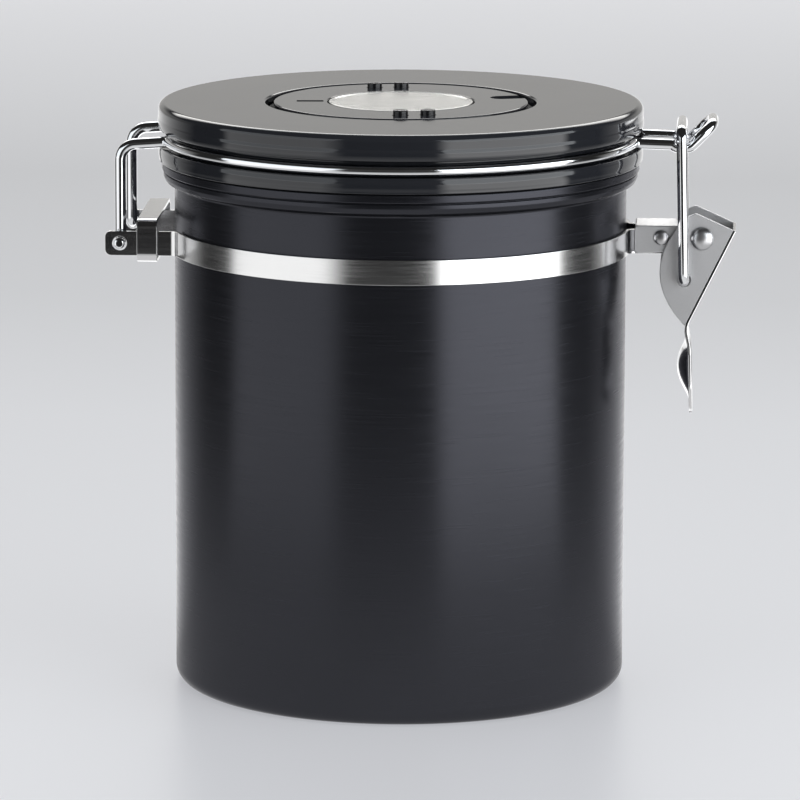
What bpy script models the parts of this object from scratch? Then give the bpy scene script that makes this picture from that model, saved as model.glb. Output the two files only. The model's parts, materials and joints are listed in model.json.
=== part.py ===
"""Clip-top storage canister: steel body, wire-hung lid with a date dial and a one-way
valve, and an over-centre latch. Metres, +Z up.

The origin is the centre of the flat base. The hinge is at -X, the latch at +X, and the
front is at -Y.
"""

import math

import bmesh
import bpy
from mathutils import Vector

# General
GAP = 0.0003                   # clearance that neighbouring pieces keep
FINE = 64                      # sides of the large round pieces
MEDIUM = 32                    # sides of the middling round pieces
SMALL = 16                     # sides of pins, pegs and screws

# Body
BODY_RADIUS = 0.0591
BODY_WALL = 0.0008
BASE_FILLET = 0.0057
WALL_HEIGHT = 0.1326           # straight wall, from the base to the start of the mouth
BEAD_HEIGHT = 0.0033
BEAD_BULGE = 0.0029            # how far the bead stands out from the wall
COLLAR_HEIGHT = 0.0026
COLLAR_BULGE = 0.0033
NECK_HEIGHT = 0.0013
NECK_BULGE = 0.0014
NECK_WALL = 0.0011

# Clamp band, its hinge ears and its latch arms
BAND_DROP = 0.0143             # band's middle below the top of the straight wall
BAND_HEIGHT = 0.0064
BAND_THICKNESS = 0.0009
EAR_SPREAD = 0.0179            # half distance between the middles of the hinge ears
EAR_REACH = 0.0038             # ear end beyond the hinge axis
EAR_CORNER = 0.0014
ARM_REACH = 0.0053             # arm end beyond the rivet
BEND_RADIUS = 0.0024
CLASP_WIDTH = 0.0052
CLASP_THICKNESS = 0.0009
CLASP_LIFT = 0.0023            # room between the ears' top edge and the strap
CLASP_DROP = 0.0008
CLASP_CORNER = 0.0016
CLASP_FROM_HINGE = 0.0072      # strap middle from the hinge axis

# Hinge and lid wire
HINGE_REACH = 0.0130           # hinge axis from the body's wall
LID_WIRE = 0.0029              # wire diameter
WIRE_HOLE_PLAY = 0.0004        # radial play of a wire end in its hole
LEG_SPREAD = 0.0150            # half distance between the hinge legs
LEG_TOP_DROP = 0.0009          # the legs' bend below the groove
LEG_BEND = 0.0042
ENTRY_BEND = 0.0020
PIN_PROUD = 0.0006             # wire end beyond the ear's outer face
HOOK_SPREAD = 0.0079           # half distance between the hook strands
HOOK_NOOK_FROM_LID = 0.0087    # where the strands dip, from the lid's side
HOOK_NOOK_LENGTH = 0.0036
HOOK_NOOK_DROP = 0.0010
HOOK_RUN = 0.0058              # length of the raised loop, in plan
HOOK_RISE = 0.0059
HOOK_CORNER = 0.0046
HOOK_FOOT_BEND = 0.0025        # bend where the raised loop starts
NOOK_BEND = 0.0015

# Lid
LID_FLARE = 0.0002             # lid's widest radius beyond its flanges
SKIRT_OVERLAP = 0.0010         # skirt below the rim of the mouth
SKIRT_PLAY = 0.0008            # skirt's inside to the neck
SKIRT_WALL = 0.0020
LOWER_FLANGE_HEIGHT = 0.0040
GROOVE_HEIGHT = 0.0043
UPPER_FLANGE_HEIGHT = 0.0067
SHOULDER_RADIUS = 0.0036
WIRE_INSET = 0.0004            # wire's outside within the flange
GASKET_THICKNESS = 0.0014
GASKET_LIP = 0.0019            # gasket's inner edge, inwards from the mouth
FRAME_WALL = 0.0038            # lid's solid rim, inwards from the skirt's inside
DECK_THICKNESS = 0.0014
DIAL_THICKNESS = 0.0008

# Date dial
DIAL_RADIUS = 0.0335
DIAL_WIDTH = 0.0140            # from the dial's hole to its edge
DIAL_PLAY = 0.0015             # open ring between the dial and its well
DISC_PLAY = 0.0004             # between the centre disc and the dial's hole
CARRIER_LAP = 0.0025           # carrier under the dial, beyond the dial's hole
CARRIER_THICKNESS = 0.0018
SPINDLE_RADIUS = 0.0090
SPINDLE_PLAY = 0.0004
SPINDLE_STUB = 0.0039
NUMBER_RING_THICKNESS = 0.0010
PEG_RADIUS = 0.00195
PEG_HEIGHT = 0.0015
PEG_FOOT_RADIUS = 0.0025
PEG_SPACING = 0.0071
PEG_AZIMUTH = math.radians(-79.3)
WINDOW_AZIMUTH = math.radians(18.5)
WINDOW_WIDTH = 0.0058
WINDOW_MARGIN = 0.0052         # from the dial's hole to the window's inner end
MARK_AZIMUTH = math.radians(-176.0)
MARK_MARGIN = 0.0010           # from the dial's hole to the mark
MARK_LENGTH = 0.0070
MARK_WIDTH = 0.0007
MARK_DEPTH = 0.0004
SCREW_HEAD = 0.0055
SCREW_SHANK = 0.0014

# Lid liner and valve
LINER_PLATE = 0.0010
LINER_WALL = 0.0010
LINER_LIFT = 0.0006            # liner's plate above the gasket's underside
VALVE_RADIUS = 0.0125
VALVE_WALL = 0.0015
VALVE_FLANGE = 0.0030
VALVE_SEAT_THICKNESS = 0.0010
VALVE_TOP = 0.0048             # housing above the liner's plate
VALVE_LIFT = 0.0006
DIAPHRAGM_RADIUS = 0.0085
DIAPHRAGM_THICKNESS = 0.0008
STEM_RADIUS = 0.0010
STEM_BULB = 0.0017
PORT_RADIUS = 0.0011
PORT_ORBIT = 0.0055
PORT_COUNT = 6
FILTER_RADIUS = 0.0140
FILTER_THICKNESS = 0.0012
RETAINER_WALL = 0.0014
RETAINER_DEPTH = 0.0034
RETAINER_PLATE = 0.0010
VENT_RADIUS = 0.0016
VENT_ORBITS = ((0.0, 1), (0.0050, 6), (0.0100, 8))

# Latch
PIVOT_FROM_WALL = 0.0199       # lever pivot from the body's wall
PIVOT_LIFT = 0.0012            # lever pivot above the band's middle
RIVET_FROM_PIVOT = 0.0106
RIVET_RADIUS = 0.00145
RIVET_HEAD = 0.00195
RIVET_DOME = 0.0007
PIVOT_PIN_RADIUS = 0.0015
PIVOT_HEAD = 0.0030
PIVOT_DOME = 0.0014
ARM_SPREAD = 0.0046            # half distance between the middles of the latch arms
BRACKET_SHEET = 0.0008
BRACKET_TOP_LIFT = 0.0009      # bracket's web above the band's top edge
LEVER_SHEET = 0.0008
LEVER_HEAD_BACK = (-0.0041, 0.0056)    # points of the lever's cheek, from its pivot
LEVER_HEAD_TOP = (-0.0017, 0.0067)
LEVER_SHOULDER = (0.0088, 0.0020)
LEVER_TAIL = (-0.0038, -0.0237)
LEVER_BELLY = 0.0070           # bulge of the cheek's inner edge
TAB_KNEE = (-0.0026, -0.0290)
TAB_TIP = (-0.0021, -0.0470)
TAB_DISH = 0.0030
TAB_DISH_CENTRE = 0.0110       # middle of the dish below the lever's tail
TAB_DISH_HALF = 0.0082
TAIL_BEND = 0.006
KNEE_BEND = 0.010
TIP_ROUND = 1.1                # length of the tab's round end, in half widths
TIP_FLAT = 0.3                 # width of the tab's tip, as a share of the tab's
STRAP_STEP = 0.0016            # spacing of the cross sections along the tab
BAIL_HOLE = (-0.0046, -0.0109)         # from the lever's pivot
BAIL_WIRE = 0.0028
BAIL_SPREAD = 0.0112           # half distance between the bail's legs
BAIL_TOP_RISE = 0.0396         # crossbar above the hole
BAIL_TOP_LEAN = 0.0010         # crossbar nearer the body than the hole
BAIL_CORNER = 0.0026
BAIL_FOOT_BEND = 0.0024
BAIL_END = 0.0058              # wire end from the middle plane

# Heights and places that follow from the sizes above
BEAD_TOP = WALL_HEIGHT + BEAD_HEIGHT
COLLAR_TOP = BEAD_TOP + COLLAR_HEIGHT
RIM_Z = COLLAR_TOP + NECK_HEIGHT
NECK_RADIUS = BODY_RADIUS + NECK_BULGE
SKIRT_Z = RIM_Z - SKIRT_OVERLAP
SKIRT_INNER = NECK_RADIUS + SKIRT_PLAY
FLANGE_RADIUS = SKIRT_INNER + SKIRT_WALL
LID_RADIUS = FLANGE_RADIUS + LID_FLARE
FRAME_WALL_INNER = SKIRT_INNER - FRAME_WALL
GROOVE_Z = SKIRT_Z + LOWER_FLANGE_HEIGHT
GROOVE_TOP = GROOVE_Z + GROOVE_HEIGHT
LID_TOP = GROOVE_TOP + UPPER_FLANGE_HEIGHT
DIAL_Z = LID_TOP - DIAL_THICKNESS
GASKET_Z = RIM_Z + GAP
GASKET_TOP = GASKET_Z + GASKET_THICKNESS
GASKET_OUTER = SKIRT_INNER - GAP
GASKET_INNER = NECK_RADIUS - NECK_WALL - GASKET_LIP
WIRE_RING_RADIUS = FLANGE_RADIUS - WIRE_INSET - LID_WIRE / 2
WIRE_RING_Z = GROOVE_Z + GAP + LID_WIRE / 2
GROOVE_FLOOR = WIRE_RING_RADIUS - LID_WIRE / 2 - GAP
WELL_RADIUS = DIAL_RADIUS + DIAL_PLAY
DIAL_HOLE = DIAL_RADIUS - DIAL_WIDTH
PEG_ORBIT = DIAL_RADIUS - DIAL_WIDTH / 2
CENTRE_DISC_RADIUS = DIAL_HOLE - DISC_PLAY
CARRIER_RADIUS = DIAL_HOLE + CARRIER_LAP
WINDOW_INNER = DIAL_HOLE + WINDOW_MARGIN
CARRIER_TOP = DIAL_Z - GAP
CARRIER_Z = CARRIER_TOP - CARRIER_THICKNESS
WELL_FLOOR = CARRIER_Z - GAP
DECK_UNDER = WELL_FLOOR - DECK_THICKNESS
BAND_CENTRE_Z = WALL_HEIGHT - BAND_DROP
BAND_RADIUS = BODY_RADIUS + GAP + BAND_THICKNESS / 2
BAND_Z = BAND_CENTRE_Z - BAND_HEIGHT / 2
BAND_TOP = BAND_CENTRE_Z + BAND_HEIGHT / 2
HINGE = Vector((-(BODY_RADIUS + HINGE_REACH), 0, BAND_CENTRE_Z))
PIVOT = Vector((BODY_RADIUS + PIVOT_FROM_WALL, 0, BAND_CENTRE_Z + PIVOT_LIFT))
BAIL_PIVOT = PIVOT + Vector((BAIL_HOLE[0], 0, BAIL_HOLE[1]))
LINER_TOP = GASKET_Z + GAP + LINER_LIFT + LINER_PLATE
LINER_RADIUS = GASKET_INNER - GAP
LID_WIRE_HOLE = LID_WIRE / 2 + WIRE_HOLE_PLAY
CHEEK_OUTER = ARM_SPREAD + BAND_THICKNESS / 2 + GAP + BRACKET_SHEET
LEVER_INNER = CHEEK_OUTER + GAP
LEVER_OUTER = LEVER_INNER + LEVER_SHEET


def clear_scene():
    for item in list(bpy.data.objects):
        bpy.data.objects.remove(item, do_unlink=True)


def make_material(name, color, metallic, roughness):
    material = bpy.data.materials.new(name)
    material.use_nodes = True
    shader = material.node_tree.nodes["Principled BSDF"]
    shader.inputs["Base Color"].default_value = (*color, 1)
    shader.inputs["Metallic"].default_value = metallic
    shader.inputs["Roughness"].default_value = roughness
    return material


def arc(centre, radius, start, end, steps):
    """Points on a circle, from one angle in degrees to another."""
    points = []
    for step in range(steps + 1):
        angle = math.radians(start + (end - start) * step / steps)
        points.append((centre[0] + radius * math.cos(angle), centre[1] + radius * math.sin(angle)))
    return points


def finish(name, mesh_data, material, smooth=True):
    """Turn a bmesh into a named object with its material."""
    bmesh.ops.recalc_face_normals(mesh_data, faces=mesh_data.faces)
    if mesh_data.calc_volume(signed=True) < 0:
        bmesh.ops.reverse_faces(mesh_data, faces=mesh_data.faces)
    mesh = bpy.data.meshes.new(name)
    mesh_data.to_mesh(mesh)
    mesh_data.free()
    if smooth:
        mesh.shade_smooth()
        mesh.set_sharp_from_angle(angle=math.radians(35))
    piece = bpy.data.objects.new(name, mesh)
    bpy.context.collection.objects.link(piece)
    if material:
        mesh.materials.append(material)
    return piece


def add_turned(mesh_data, outline, sides, centre=(0, 0)):
    """Turn a closed outline of (radius, height) points about a vertical axis."""
    rings = []
    for radius, height in outline:
        if radius < 1e-6:
            rings.append([mesh_data.verts.new((centre[0], centre[1], height))])
            continue
        ring = []
        for side in range(sides):
            angle = 2 * math.pi * side / sides
            x = centre[0] + radius * math.cos(angle)
            y = centre[1] + radius * math.sin(angle)
            ring.append(mesh_data.verts.new((x, y, height)))
        rings.append(ring)
    for lower, upper in zip(rings, rings[1:] + rings[:1]):
        if len(lower) == 1 and len(upper) == 1:
            continue
        for side in range(sides):
            after = (side + 1) % sides
            corners = [lower[side % len(lower)], lower[after % len(lower)],
                       upper[after % len(upper)], upper[side % len(upper)]]
            mesh_data.faces.new(list(dict.fromkeys(corners)))


def turned(name, outline, sides, material, centre=(0, 0)):
    mesh_data = bmesh.new()
    add_turned(mesh_data, outline, sides, centre)
    return finish(name, mesh_data, material)


def add_prism(mesh_data, outline, low, high, place):
    """Extrude a closed outline between two depths; place maps (u, v, depth) to a point."""
    first = [mesh_data.verts.new(place(u, v, low)) for u, v in outline]
    last = [mesh_data.verts.new(place(u, v, high)) for u, v in outline]
    mesh_data.faces.new(first)
    mesh_data.faces.new(last)
    count = len(outline)
    for index in range(count):
        after = (index + 1) % count
        mesh_data.faces.new([first[index], first[after], last[after], last[index]])


def upright(x, z, y):
    """Outline in the XZ plane, depth along Y."""
    return (x, y, z)


def flat(x, y, z):
    """Outline in the XY plane, depth along Z."""
    return (x, y, z)


def prism(name, outline, low, high, place, material):
    mesh_data = bmesh.new()
    add_prism(mesh_data, outline, low, high, place)
    return finish(name, mesh_data, material)


def add_pin(mesh_data, outline, sides, middle):
    """Turn an outline of (radius, distance) points about an axis along Y through middle."""
    rings = []
    for radius, distance in outline:
        if radius < 1e-6:
            rings.append([mesh_data.verts.new((middle.x, distance, middle.z))])
            continue
        ring = []
        for side in range(sides):
            angle = 2 * math.pi * side / sides
            x = middle.x + radius * math.cos(angle)
            z = middle.z + radius * math.sin(angle)
            ring.append(mesh_data.verts.new((x, distance, z)))
        rings.append(ring)
    for lower, upper in zip(rings, rings[1:]):
        for side in range(sides):
            after = (side + 1) % sides
            corners = [lower[side % len(lower)], lower[after % len(lower)],
                       upper[after % len(upper)], upper[side % len(upper)]]
            mesh_data.faces.new(list(dict.fromkeys(corners)))


def cut(piece, name, mesh_data):
    """Cut a piece with a hidden cutter."""
    cutter = finish(name, mesh_data, None, smooth=False)
    cutter.hide_render = True
    cutter.display_type = "WIRE"
    modifier = piece.modifiers.new(name, "BOOLEAN")
    modifier.operation = "DIFFERENCE"
    modifier.solver = "EXACT"
    modifier.object = cutter


def rounded(corners, radii, steps):
    """Polyline through 3-D corners with each inner corner rounded to its radius."""
    points = [Vector(corners[0])]
    for index in range(1, len(corners) - 1):
        before, here, after = (Vector(corners[index + k]) for k in (-1, 0, 1))
        back = (before - here).normalized()
        ahead = (after - here).normalized()
        half = back.angle(ahead) / 2
        if radii[index] <= 0 or half > math.radians(89.5):
            points.append(here)
            continue
        reach = radii[index] / math.tan(half)
        centre = here + (back + ahead).normalized() * (radii[index] / math.sin(half))
        start = here + back * reach - centre
        end = here + ahead * reach - centre
        for step in range(steps + 1):
            points.append(centre + start.slerp(end, step / steps).normalized() * radii[index])
    points.append(Vector(corners[-1]))
    return points


def wire(name, points, diameter, material):
    """Round wire along a polyline, with closed ends."""
    curve = bpy.data.curves.new(name, "CURVE")
    curve.dimensions = "3D"
    curve.bevel_depth = diameter / 2
    curve.bevel_resolution = 2
    curve.use_fill_caps = True
    spline = curve.splines.new("POLY")
    spline.points.add(len(points) - 1)
    for target, point in zip(spline.points, points):
        target.co = (*point, 1)
    curve.materials.append(material)
    piece = bpy.data.objects.new(name, curve)
    bpy.context.collection.objects.link(piece)
    return piece


def mouth_radius(bulge):
    return BODY_RADIUS + bulge


def make_body(material):
    """Drawn steel cup whose mouth is pressed out into a bead and a collar below its neck."""
    inner = BODY_RADIUS - BODY_WALL
    neck_inner = NECK_RADIUS - NECK_WALL
    pressed_inner = mouth_radius(BEAD_BULGE) - NECK_WALL
    soft = 0.0005
    outline = [(0, 0), (BODY_RADIUS - BASE_FILLET, 0)]
    outline += arc((BODY_RADIUS - BASE_FILLET, BASE_FILLET), BASE_FILLET, -72, 0, 4)
    outline += [
        (BODY_RADIUS, WALL_HEIGHT),
        (mouth_radius(BEAD_BULGE * 0.55), WALL_HEIGHT + BEAD_HEIGHT * 0.15),
        (mouth_radius(BEAD_BULGE * 0.88), WALL_HEIGHT + BEAD_HEIGHT * 0.38),
        (mouth_radius(BEAD_BULGE), WALL_HEIGHT + BEAD_HEIGHT * 0.66),
        (mouth_radius(BEAD_BULGE), BEAD_TOP - soft),
        (mouth_radius(BEAD_BULGE - soft), BEAD_TOP),
        (mouth_radius(COLLAR_BULGE), BEAD_TOP + soft),
        (mouth_radius(COLLAR_BULGE), COLLAR_TOP - soft),
        (mouth_radius(COLLAR_BULGE - soft), COLLAR_TOP),
        (NECK_RADIUS, COLLAR_TOP),
        (NECK_RADIUS, RIM_Z - soft * 0.6),
        (NECK_RADIUS - soft * 0.6, RIM_Z),
        (neck_inner + soft * 0.6, RIM_Z),
        (neck_inner, RIM_Z - soft * 0.6),
        (neck_inner, COLLAR_TOP - NECK_WALL),
        (pressed_inner, COLLAR_TOP - NECK_WALL - soft),
        (pressed_inner, WALL_HEIGHT + BEAD_HEIGHT * 0.66),
        (inner, WALL_HEIGHT + BEAD_HEIGHT * 0.15),
    ]
    inner_fillet = BASE_FILLET - BODY_WALL
    outline += arc((inner - inner_fillet, BASE_FILLET), inner_fillet, 0, -67.5, 3)
    outline += [(inner - inner_fillet, BODY_WALL), (0, BODY_WALL)]
    return turned("body_shell", outline, FINE, material)


def band_plan():
    """Middle line of the front half band in plan, from its ear to its latch arm."""
    bend = BEND_RADIUS
    points = [(HINGE.x - EAR_REACH, -EAR_SPREAD)]
    ends = []
    for spread, side in ((EAR_SPREAD, -1), (ARM_SPREAD, 1)):
        drop = spread + bend
        along = math.sqrt((BAND_RADIUS + bend) ** 2 - drop ** 2)
        ends.append((side * along, -drop))
    left, right = ends
    left_angle = math.degrees(math.atan2(-left[1], -left[0]))
    points += arc(left, bend, 90, left_angle, 6)
    start = math.degrees(math.atan2(left[1], left[0])) % 360
    end = math.degrees(math.atan2(right[1], right[0])) % 360
    points += arc((0, 0), BAND_RADIUS, start, end, 44)[1:]
    right_angle = math.degrees(math.atan2(-right[1], -right[0]))
    points += arc(right, bend, right_angle, 90, 6)[1:]
    points.append((PIVOT.x - RIVET_FROM_PIVOT + ARM_REACH, -ARM_SPREAD))
    return points


def make_half_band(name, side, material):
    """Half of the clamp band with its hinge ear and latch arm; side is -1 in front."""
    points = [Vector((x, y)) for x, y in band_plan()]
    left, right = [], []
    for index, point in enumerate(points):
        before = points[max(index - 1, 0)]
        after = points[min(index + 1, len(points) - 1)]
        along = (after - before).normalized()
        offset = Vector((-along.y, along.x)) * BAND_THICKNESS / 2
        left.append(point + offset)
        right.append(point - offset)
    outline = [(p.x, -side * p.y) for p in left + right[::-1]]
    band = prism(name, outline, BAND_Z, BAND_TOP, flat, material)

    cutters = bmesh.new()
    ear_face = side * EAR_SPREAD
    depth = BAND_THICKNESS
    add_pin(cutters, [(0, ear_face - depth), (LID_WIRE_HOLE, ear_face - depth),
                      (LID_WIRE_HOLE, ear_face + depth), (0, ear_face + depth)], SMALL, HINGE)
    arm_face = side * ARM_SPREAD
    rivet = PIVOT - Vector((RIVET_FROM_PIVOT, 0, 0))
    hole = RIVET_RADIUS + GAP
    add_pin(cutters, [(0, arm_face - depth), (hole, arm_face - depth),
                      (hole, arm_face + depth), (0, arm_face + depth)], SMALL, rivet)
    end = HINGE.x - EAR_REACH
    for low, high in ((BAND_Z, BAND_Z + EAR_CORNER), (BAND_TOP, BAND_TOP - EAR_CORNER)):
        beyond = GAP if high < low else -GAP
        corner = [(end - GAP, low + beyond), (end + EAR_CORNER * 0.7, low + beyond),
                  (end + EAR_CORNER * 0.6, low), (end, high), (end - GAP, high)]
        add_prism(cutters, corner, ear_face - depth, ear_face + depth, upright)
    cut(band, name + "_cuts", cutters)
    return band


def make_clasp(material):
    """Closed strap that holds the two hinge ears side by side."""
    half_y = EAR_SPREAD + BAND_THICKNESS / 2 + GAP
    low = BAND_Z - CLASP_DROP
    high = BAND_TOP + CLASP_LIFT
    middle = HINGE.x + CLASP_FROM_HINGE

    def loop(grow, corner):
        points = []
        spots = ((half_y + grow, high + grow, 0), (-half_y - grow, high + grow, 90),
                 (-half_y - grow, low - grow, 180), (half_y + grow, low - grow, 270))
        for y, z, start in spots:
            centre = (y - math.copysign(corner, y), z - (corner if z > BAND_CENTRE_Z else -corner))
            points += arc(centre, corner, start, start + 90, 4)
        return points

    mesh_data = bmesh.new()
    rings = []
    for outline in (loop(0, CLASP_CORNER), loop(CLASP_THICKNESS, CLASP_CORNER + CLASP_THICKNESS)):
        for x in (middle - CLASP_WIDTH / 2, middle + CLASP_WIDTH / 2):
            rings.append([mesh_data.verts.new((x, y, z)) for y, z in outline])
    inner_left, inner_right, outer_left, outer_right = rings
    order = [inner_left, inner_right, outer_right, outer_left]
    count = len(inner_left)
    for one, two in zip(order, order[1:] + order[:1]):
        for index in range(count):
            after = (index + 1) % count
            mesh_data.faces.new([one[index], one[after], two[after], two[index]])
    return finish("hinge_clasp", mesh_data, material)


def bracket_outline():
    """Side view of the latch bracket's cheek, with a round nose about the pivot."""
    nose = BAND_HEIGHT / 2
    back = BODY_RADIUS + BEND_RADIUS
    top = BAND_TOP + BRACKET_TOP_LIFT
    points = [(back, top), (back, BAND_Z)]
    points += [(PIVOT.x, PIVOT.z - nose)]
    points += arc((PIVOT.x, PIVOT.z), nose, -80, 80, 8)
    points += [(PIVOT.x, PIVOT.z + nose), (PIVOT.x - nose, top)]
    return points


def make_bracket(material):
    """Inverted channel that carries the lever, riveted over the band's arms."""
    outline = bracket_outline()
    bracket = prism("latch_bracket", outline, -CHEEK_OUTER, CHEEK_OUTER, upright, material)
    cutters = bmesh.new()
    inner = CHEEK_OUTER - BRACKET_SHEET
    under = BAND_TOP + BRACKET_TOP_LIFT - BRACKET_SHEET
    beyond = PIVOT.x + BAND_HEIGHT
    hollow = [(BODY_RADIUS, BAND_Z - BAND_HEIGHT), (beyond, BAND_Z - BAND_HEIGHT),
              (beyond, under), (BODY_RADIUS, under)]
    add_prism(cutters, hollow, -inner, inner, upright)
    cut(bracket, "bracket_hollow", cutters)
    holes = bmesh.new()
    wide = CHEEK_OUTER + GAP
    rivet = PIVOT - Vector((RIVET_FROM_PIVOT, 0, 0))
    for spot, radius in ((rivet, RIVET_RADIUS + GAP), (PIVOT, PIVOT_PIN_RADIUS + GAP)):
        add_pin(holes, [(0, -wide), (radius, -wide), (radius, wide), (0, wide)], SMALL, spot)
    cut(bracket, "bracket_holes", holes)
    return bracket


def dome(radius, height, face, direction, steps=4):
    """Half outline of a domed head that stands on a face, from its edge to its crown."""
    points = []
    for step in range(steps + 1):
        angle = math.pi / 2 * step / steps
        out = radius * math.cos(angle) if step < steps else 0
        points.append((out, face + direction * height * math.sin(angle)))
    return points


def make_bracket_rivet(name, side, material):
    """Rivet that holds one of the bracket's cheeks to the band's arm."""
    spot = PIVOT - Vector((RIVET_FROM_PIVOT, 0, 0))
    face = side * (CHEEK_OUTER + GAP)
    foot = side * (ARM_SPREAD - BAND_THICKNESS / 2 - GAP)
    outline = [(0, foot - side * RIVET_DOME), (RIVET_HEAD, foot - side * RIVET_DOME),
               (RIVET_HEAD, foot), (RIVET_RADIUS, foot), (RIVET_RADIUS, face)]
    outline += dome(RIVET_HEAD, RIVET_DOME, face, side)
    mesh_data = bmesh.new()
    add_pin(mesh_data, outline, SMALL, spot)
    return finish(name, mesh_data, material)


def make_pivot_pin(material):
    """Domed pin that the lever turns on."""
    face = LEVER_OUTER + GAP
    outline = dome(PIVOT_HEAD, PIVOT_DOME, -face, -1)[::-1]
    outline += [(PIVOT_PIN_RADIUS, -face), (PIVOT_PIN_RADIUS, face)]
    outline += dome(PIVOT_HEAD, PIVOT_DOME, face, 1)
    mesh_data = bmesh.new()
    add_pin(mesh_data, outline, SMALL, PIVOT)
    return finish("lever_pivot_pin", mesh_data, material)


def from_pivot(point):
    return (PIVOT.x + point[0], PIVOT.z + point[1])


def lever_cheek():
    """Leaf-shaped side of the lever, anticlockwise from its tail."""
    tail = Vector(from_pivot(LEVER_TAIL))
    shoulder = from_pivot(LEVER_SHOULDER)
    top = from_pivot(LEVER_HEAD_TOP)
    back = Vector(from_pivot(LEVER_HEAD_BACK))
    points = [tuple(tail), shoulder, top, tuple(back)]
    chord = tail - back
    outward = Vector((chord.y, -chord.x)).normalized()
    steps = 9
    for step in range(1, steps):
        share = step / steps
        bulge = LEVER_BELLY * 4 * share * (1 - share)
        spot = back + chord * share + outward * bulge
        points.append(tuple(spot))
    return points


def strap_line():
    """Middle line of the lever's back and tab, from its shoulder to the tab's tip."""
    corners = [(*from_pivot(p), 0) for p in (LEVER_SHOULDER, LEVER_TAIL, TAB_KNEE, TAB_TIP)]
    bends = rounded(corners, [0, TAIL_BEND, KNEE_BEND, 0], 4)
    points = [bends[0]]
    for start, end in zip(bends, bends[1:]):
        parts = max(1, round((end - start).length / STRAP_STEP)) if start.y < corners[1][1] else 1
        for part in range(1, parts + 1):
            points.append(start.lerp(end, part / parts))
    return points


def add_strap(mesh_data):
    """Bent sheet that is the lever's back and its dished finger tab."""
    line = strap_line()
    tail_z = from_pivot(LEVER_TAIL)[1]
    tip_z = from_pivot(TAB_TIP)[1]
    columns = 8
    sheets = ([], [])
    for index, point in enumerate(line):
        before = line[max(index - 1, 0)]
        after = line[min(index + 1, len(line) - 1)]
        along = (after - before).normalized()
        inward = Vector((along.y, -along.x, 0)).normalized()
        if inward.x > 0:
            inward = -inward
        below_tail = tail_z - point.y
        near_tip = min(1, max(0, (point.y - tip_z) / (LEVER_OUTER * TIP_ROUND)))
        half_width = LEVER_OUTER * max(TIP_FLAT, math.sqrt(1 - (1 - near_tip) ** 2))
        reach = abs(below_tail - TAB_DISH_CENTRE) / TAB_DISH_HALF
        lengthwise = max(0, 1 - reach ** 2)
        for sheet, depth in zip(sheets, (0, LEVER_SHEET)):
            row = []
            for column in range(columns + 1):
                share = 2 * column / columns - 1
                dish = TAB_DISH * lengthwise * (1 - share ** 2)
                spot = point + inward * (depth + dish)
                row.append(mesh_data.verts.new((spot.x, share * half_width, spot.y)))
            sheet.append(row)
    outer, inner = sheets
    for rows in sheets:
        for one, two in zip(rows, rows[1:]):
            for column in range(columns):
                mesh_data.faces.new([one[column], one[column + 1], two[column + 1], two[column]])
    for column in range(columns):
        for row in (0, -1):
            mesh_data.faces.new([outer[row][column], outer[row][column + 1],
                                 inner[row][column + 1], inner[row][column]])
    for row in range(len(line) - 1):
        for column in (0, -1):
            mesh_data.faces.new([outer[row][column], outer[row + 1][column],
                                 inner[row + 1][column], inner[row][column]])


def make_lever(material):
    """Pressed lever: two cheeks, the back that joins them, and the finger tab."""
    mesh_data = bmesh.new()
    add_strap(mesh_data)
    lever = finish("latch_lever", mesh_data, material)
    outline = lever_cheek()
    for side in (-1, 1):
        cheek_data = bmesh.new()
        low, high = sorted((side * LEVER_INNER, side * LEVER_OUTER))
        add_prism(cheek_data, outline, low, high, upright)
        cheek = finish("lever_cheek_front" if side < 0 else "lever_cheek_rear", cheek_data, None)
        cheek.hide_render = True
        cheek.display_type = "WIRE"
        modifier = lever.modifiers.new(cheek.name, "BOOLEAN")
        modifier.operation = "UNION"
        modifier.solver = "EXACT"
        modifier.object = cheek
    holes = bmesh.new()
    wide = LEVER_OUTER + GAP
    for spot, radius in ((PIVOT, PIVOT_PIN_RADIUS + GAP), (BAIL_PIVOT, BAIL_WIRE / 2 + WIRE_HOLE_PLAY)):
        add_pin(holes, [(0, -wide), (radius, -wide), (radius, wide), (0, wide)], SMALL, spot)
    cut(lever, "lever_holes", holes)
    return lever


def make_bail(material):
    """Wire loop from the lever's holes up and over the lid's hook."""
    foot = BAIL_PIVOT
    top_x = foot.x - BAIL_TOP_LEAN
    top_z = foot.z + BAIL_TOP_RISE
    corners = [(foot.x, -BAIL_END, foot.z), (foot.x, -BAIL_SPREAD, foot.z),
               (top_x, -BAIL_SPREAD, top_z), (top_x, BAIL_SPREAD, top_z),
               (foot.x, BAIL_SPREAD, foot.z), (foot.x, BAIL_END, foot.z)]
    radii = [0, BAIL_FOOT_BEND, BAIL_CORNER, BAIL_CORNER, BAIL_FOOT_BEND, 0]
    return wire("latch_bail", rounded(corners, radii, 5), BAIL_WIRE, material)


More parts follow.
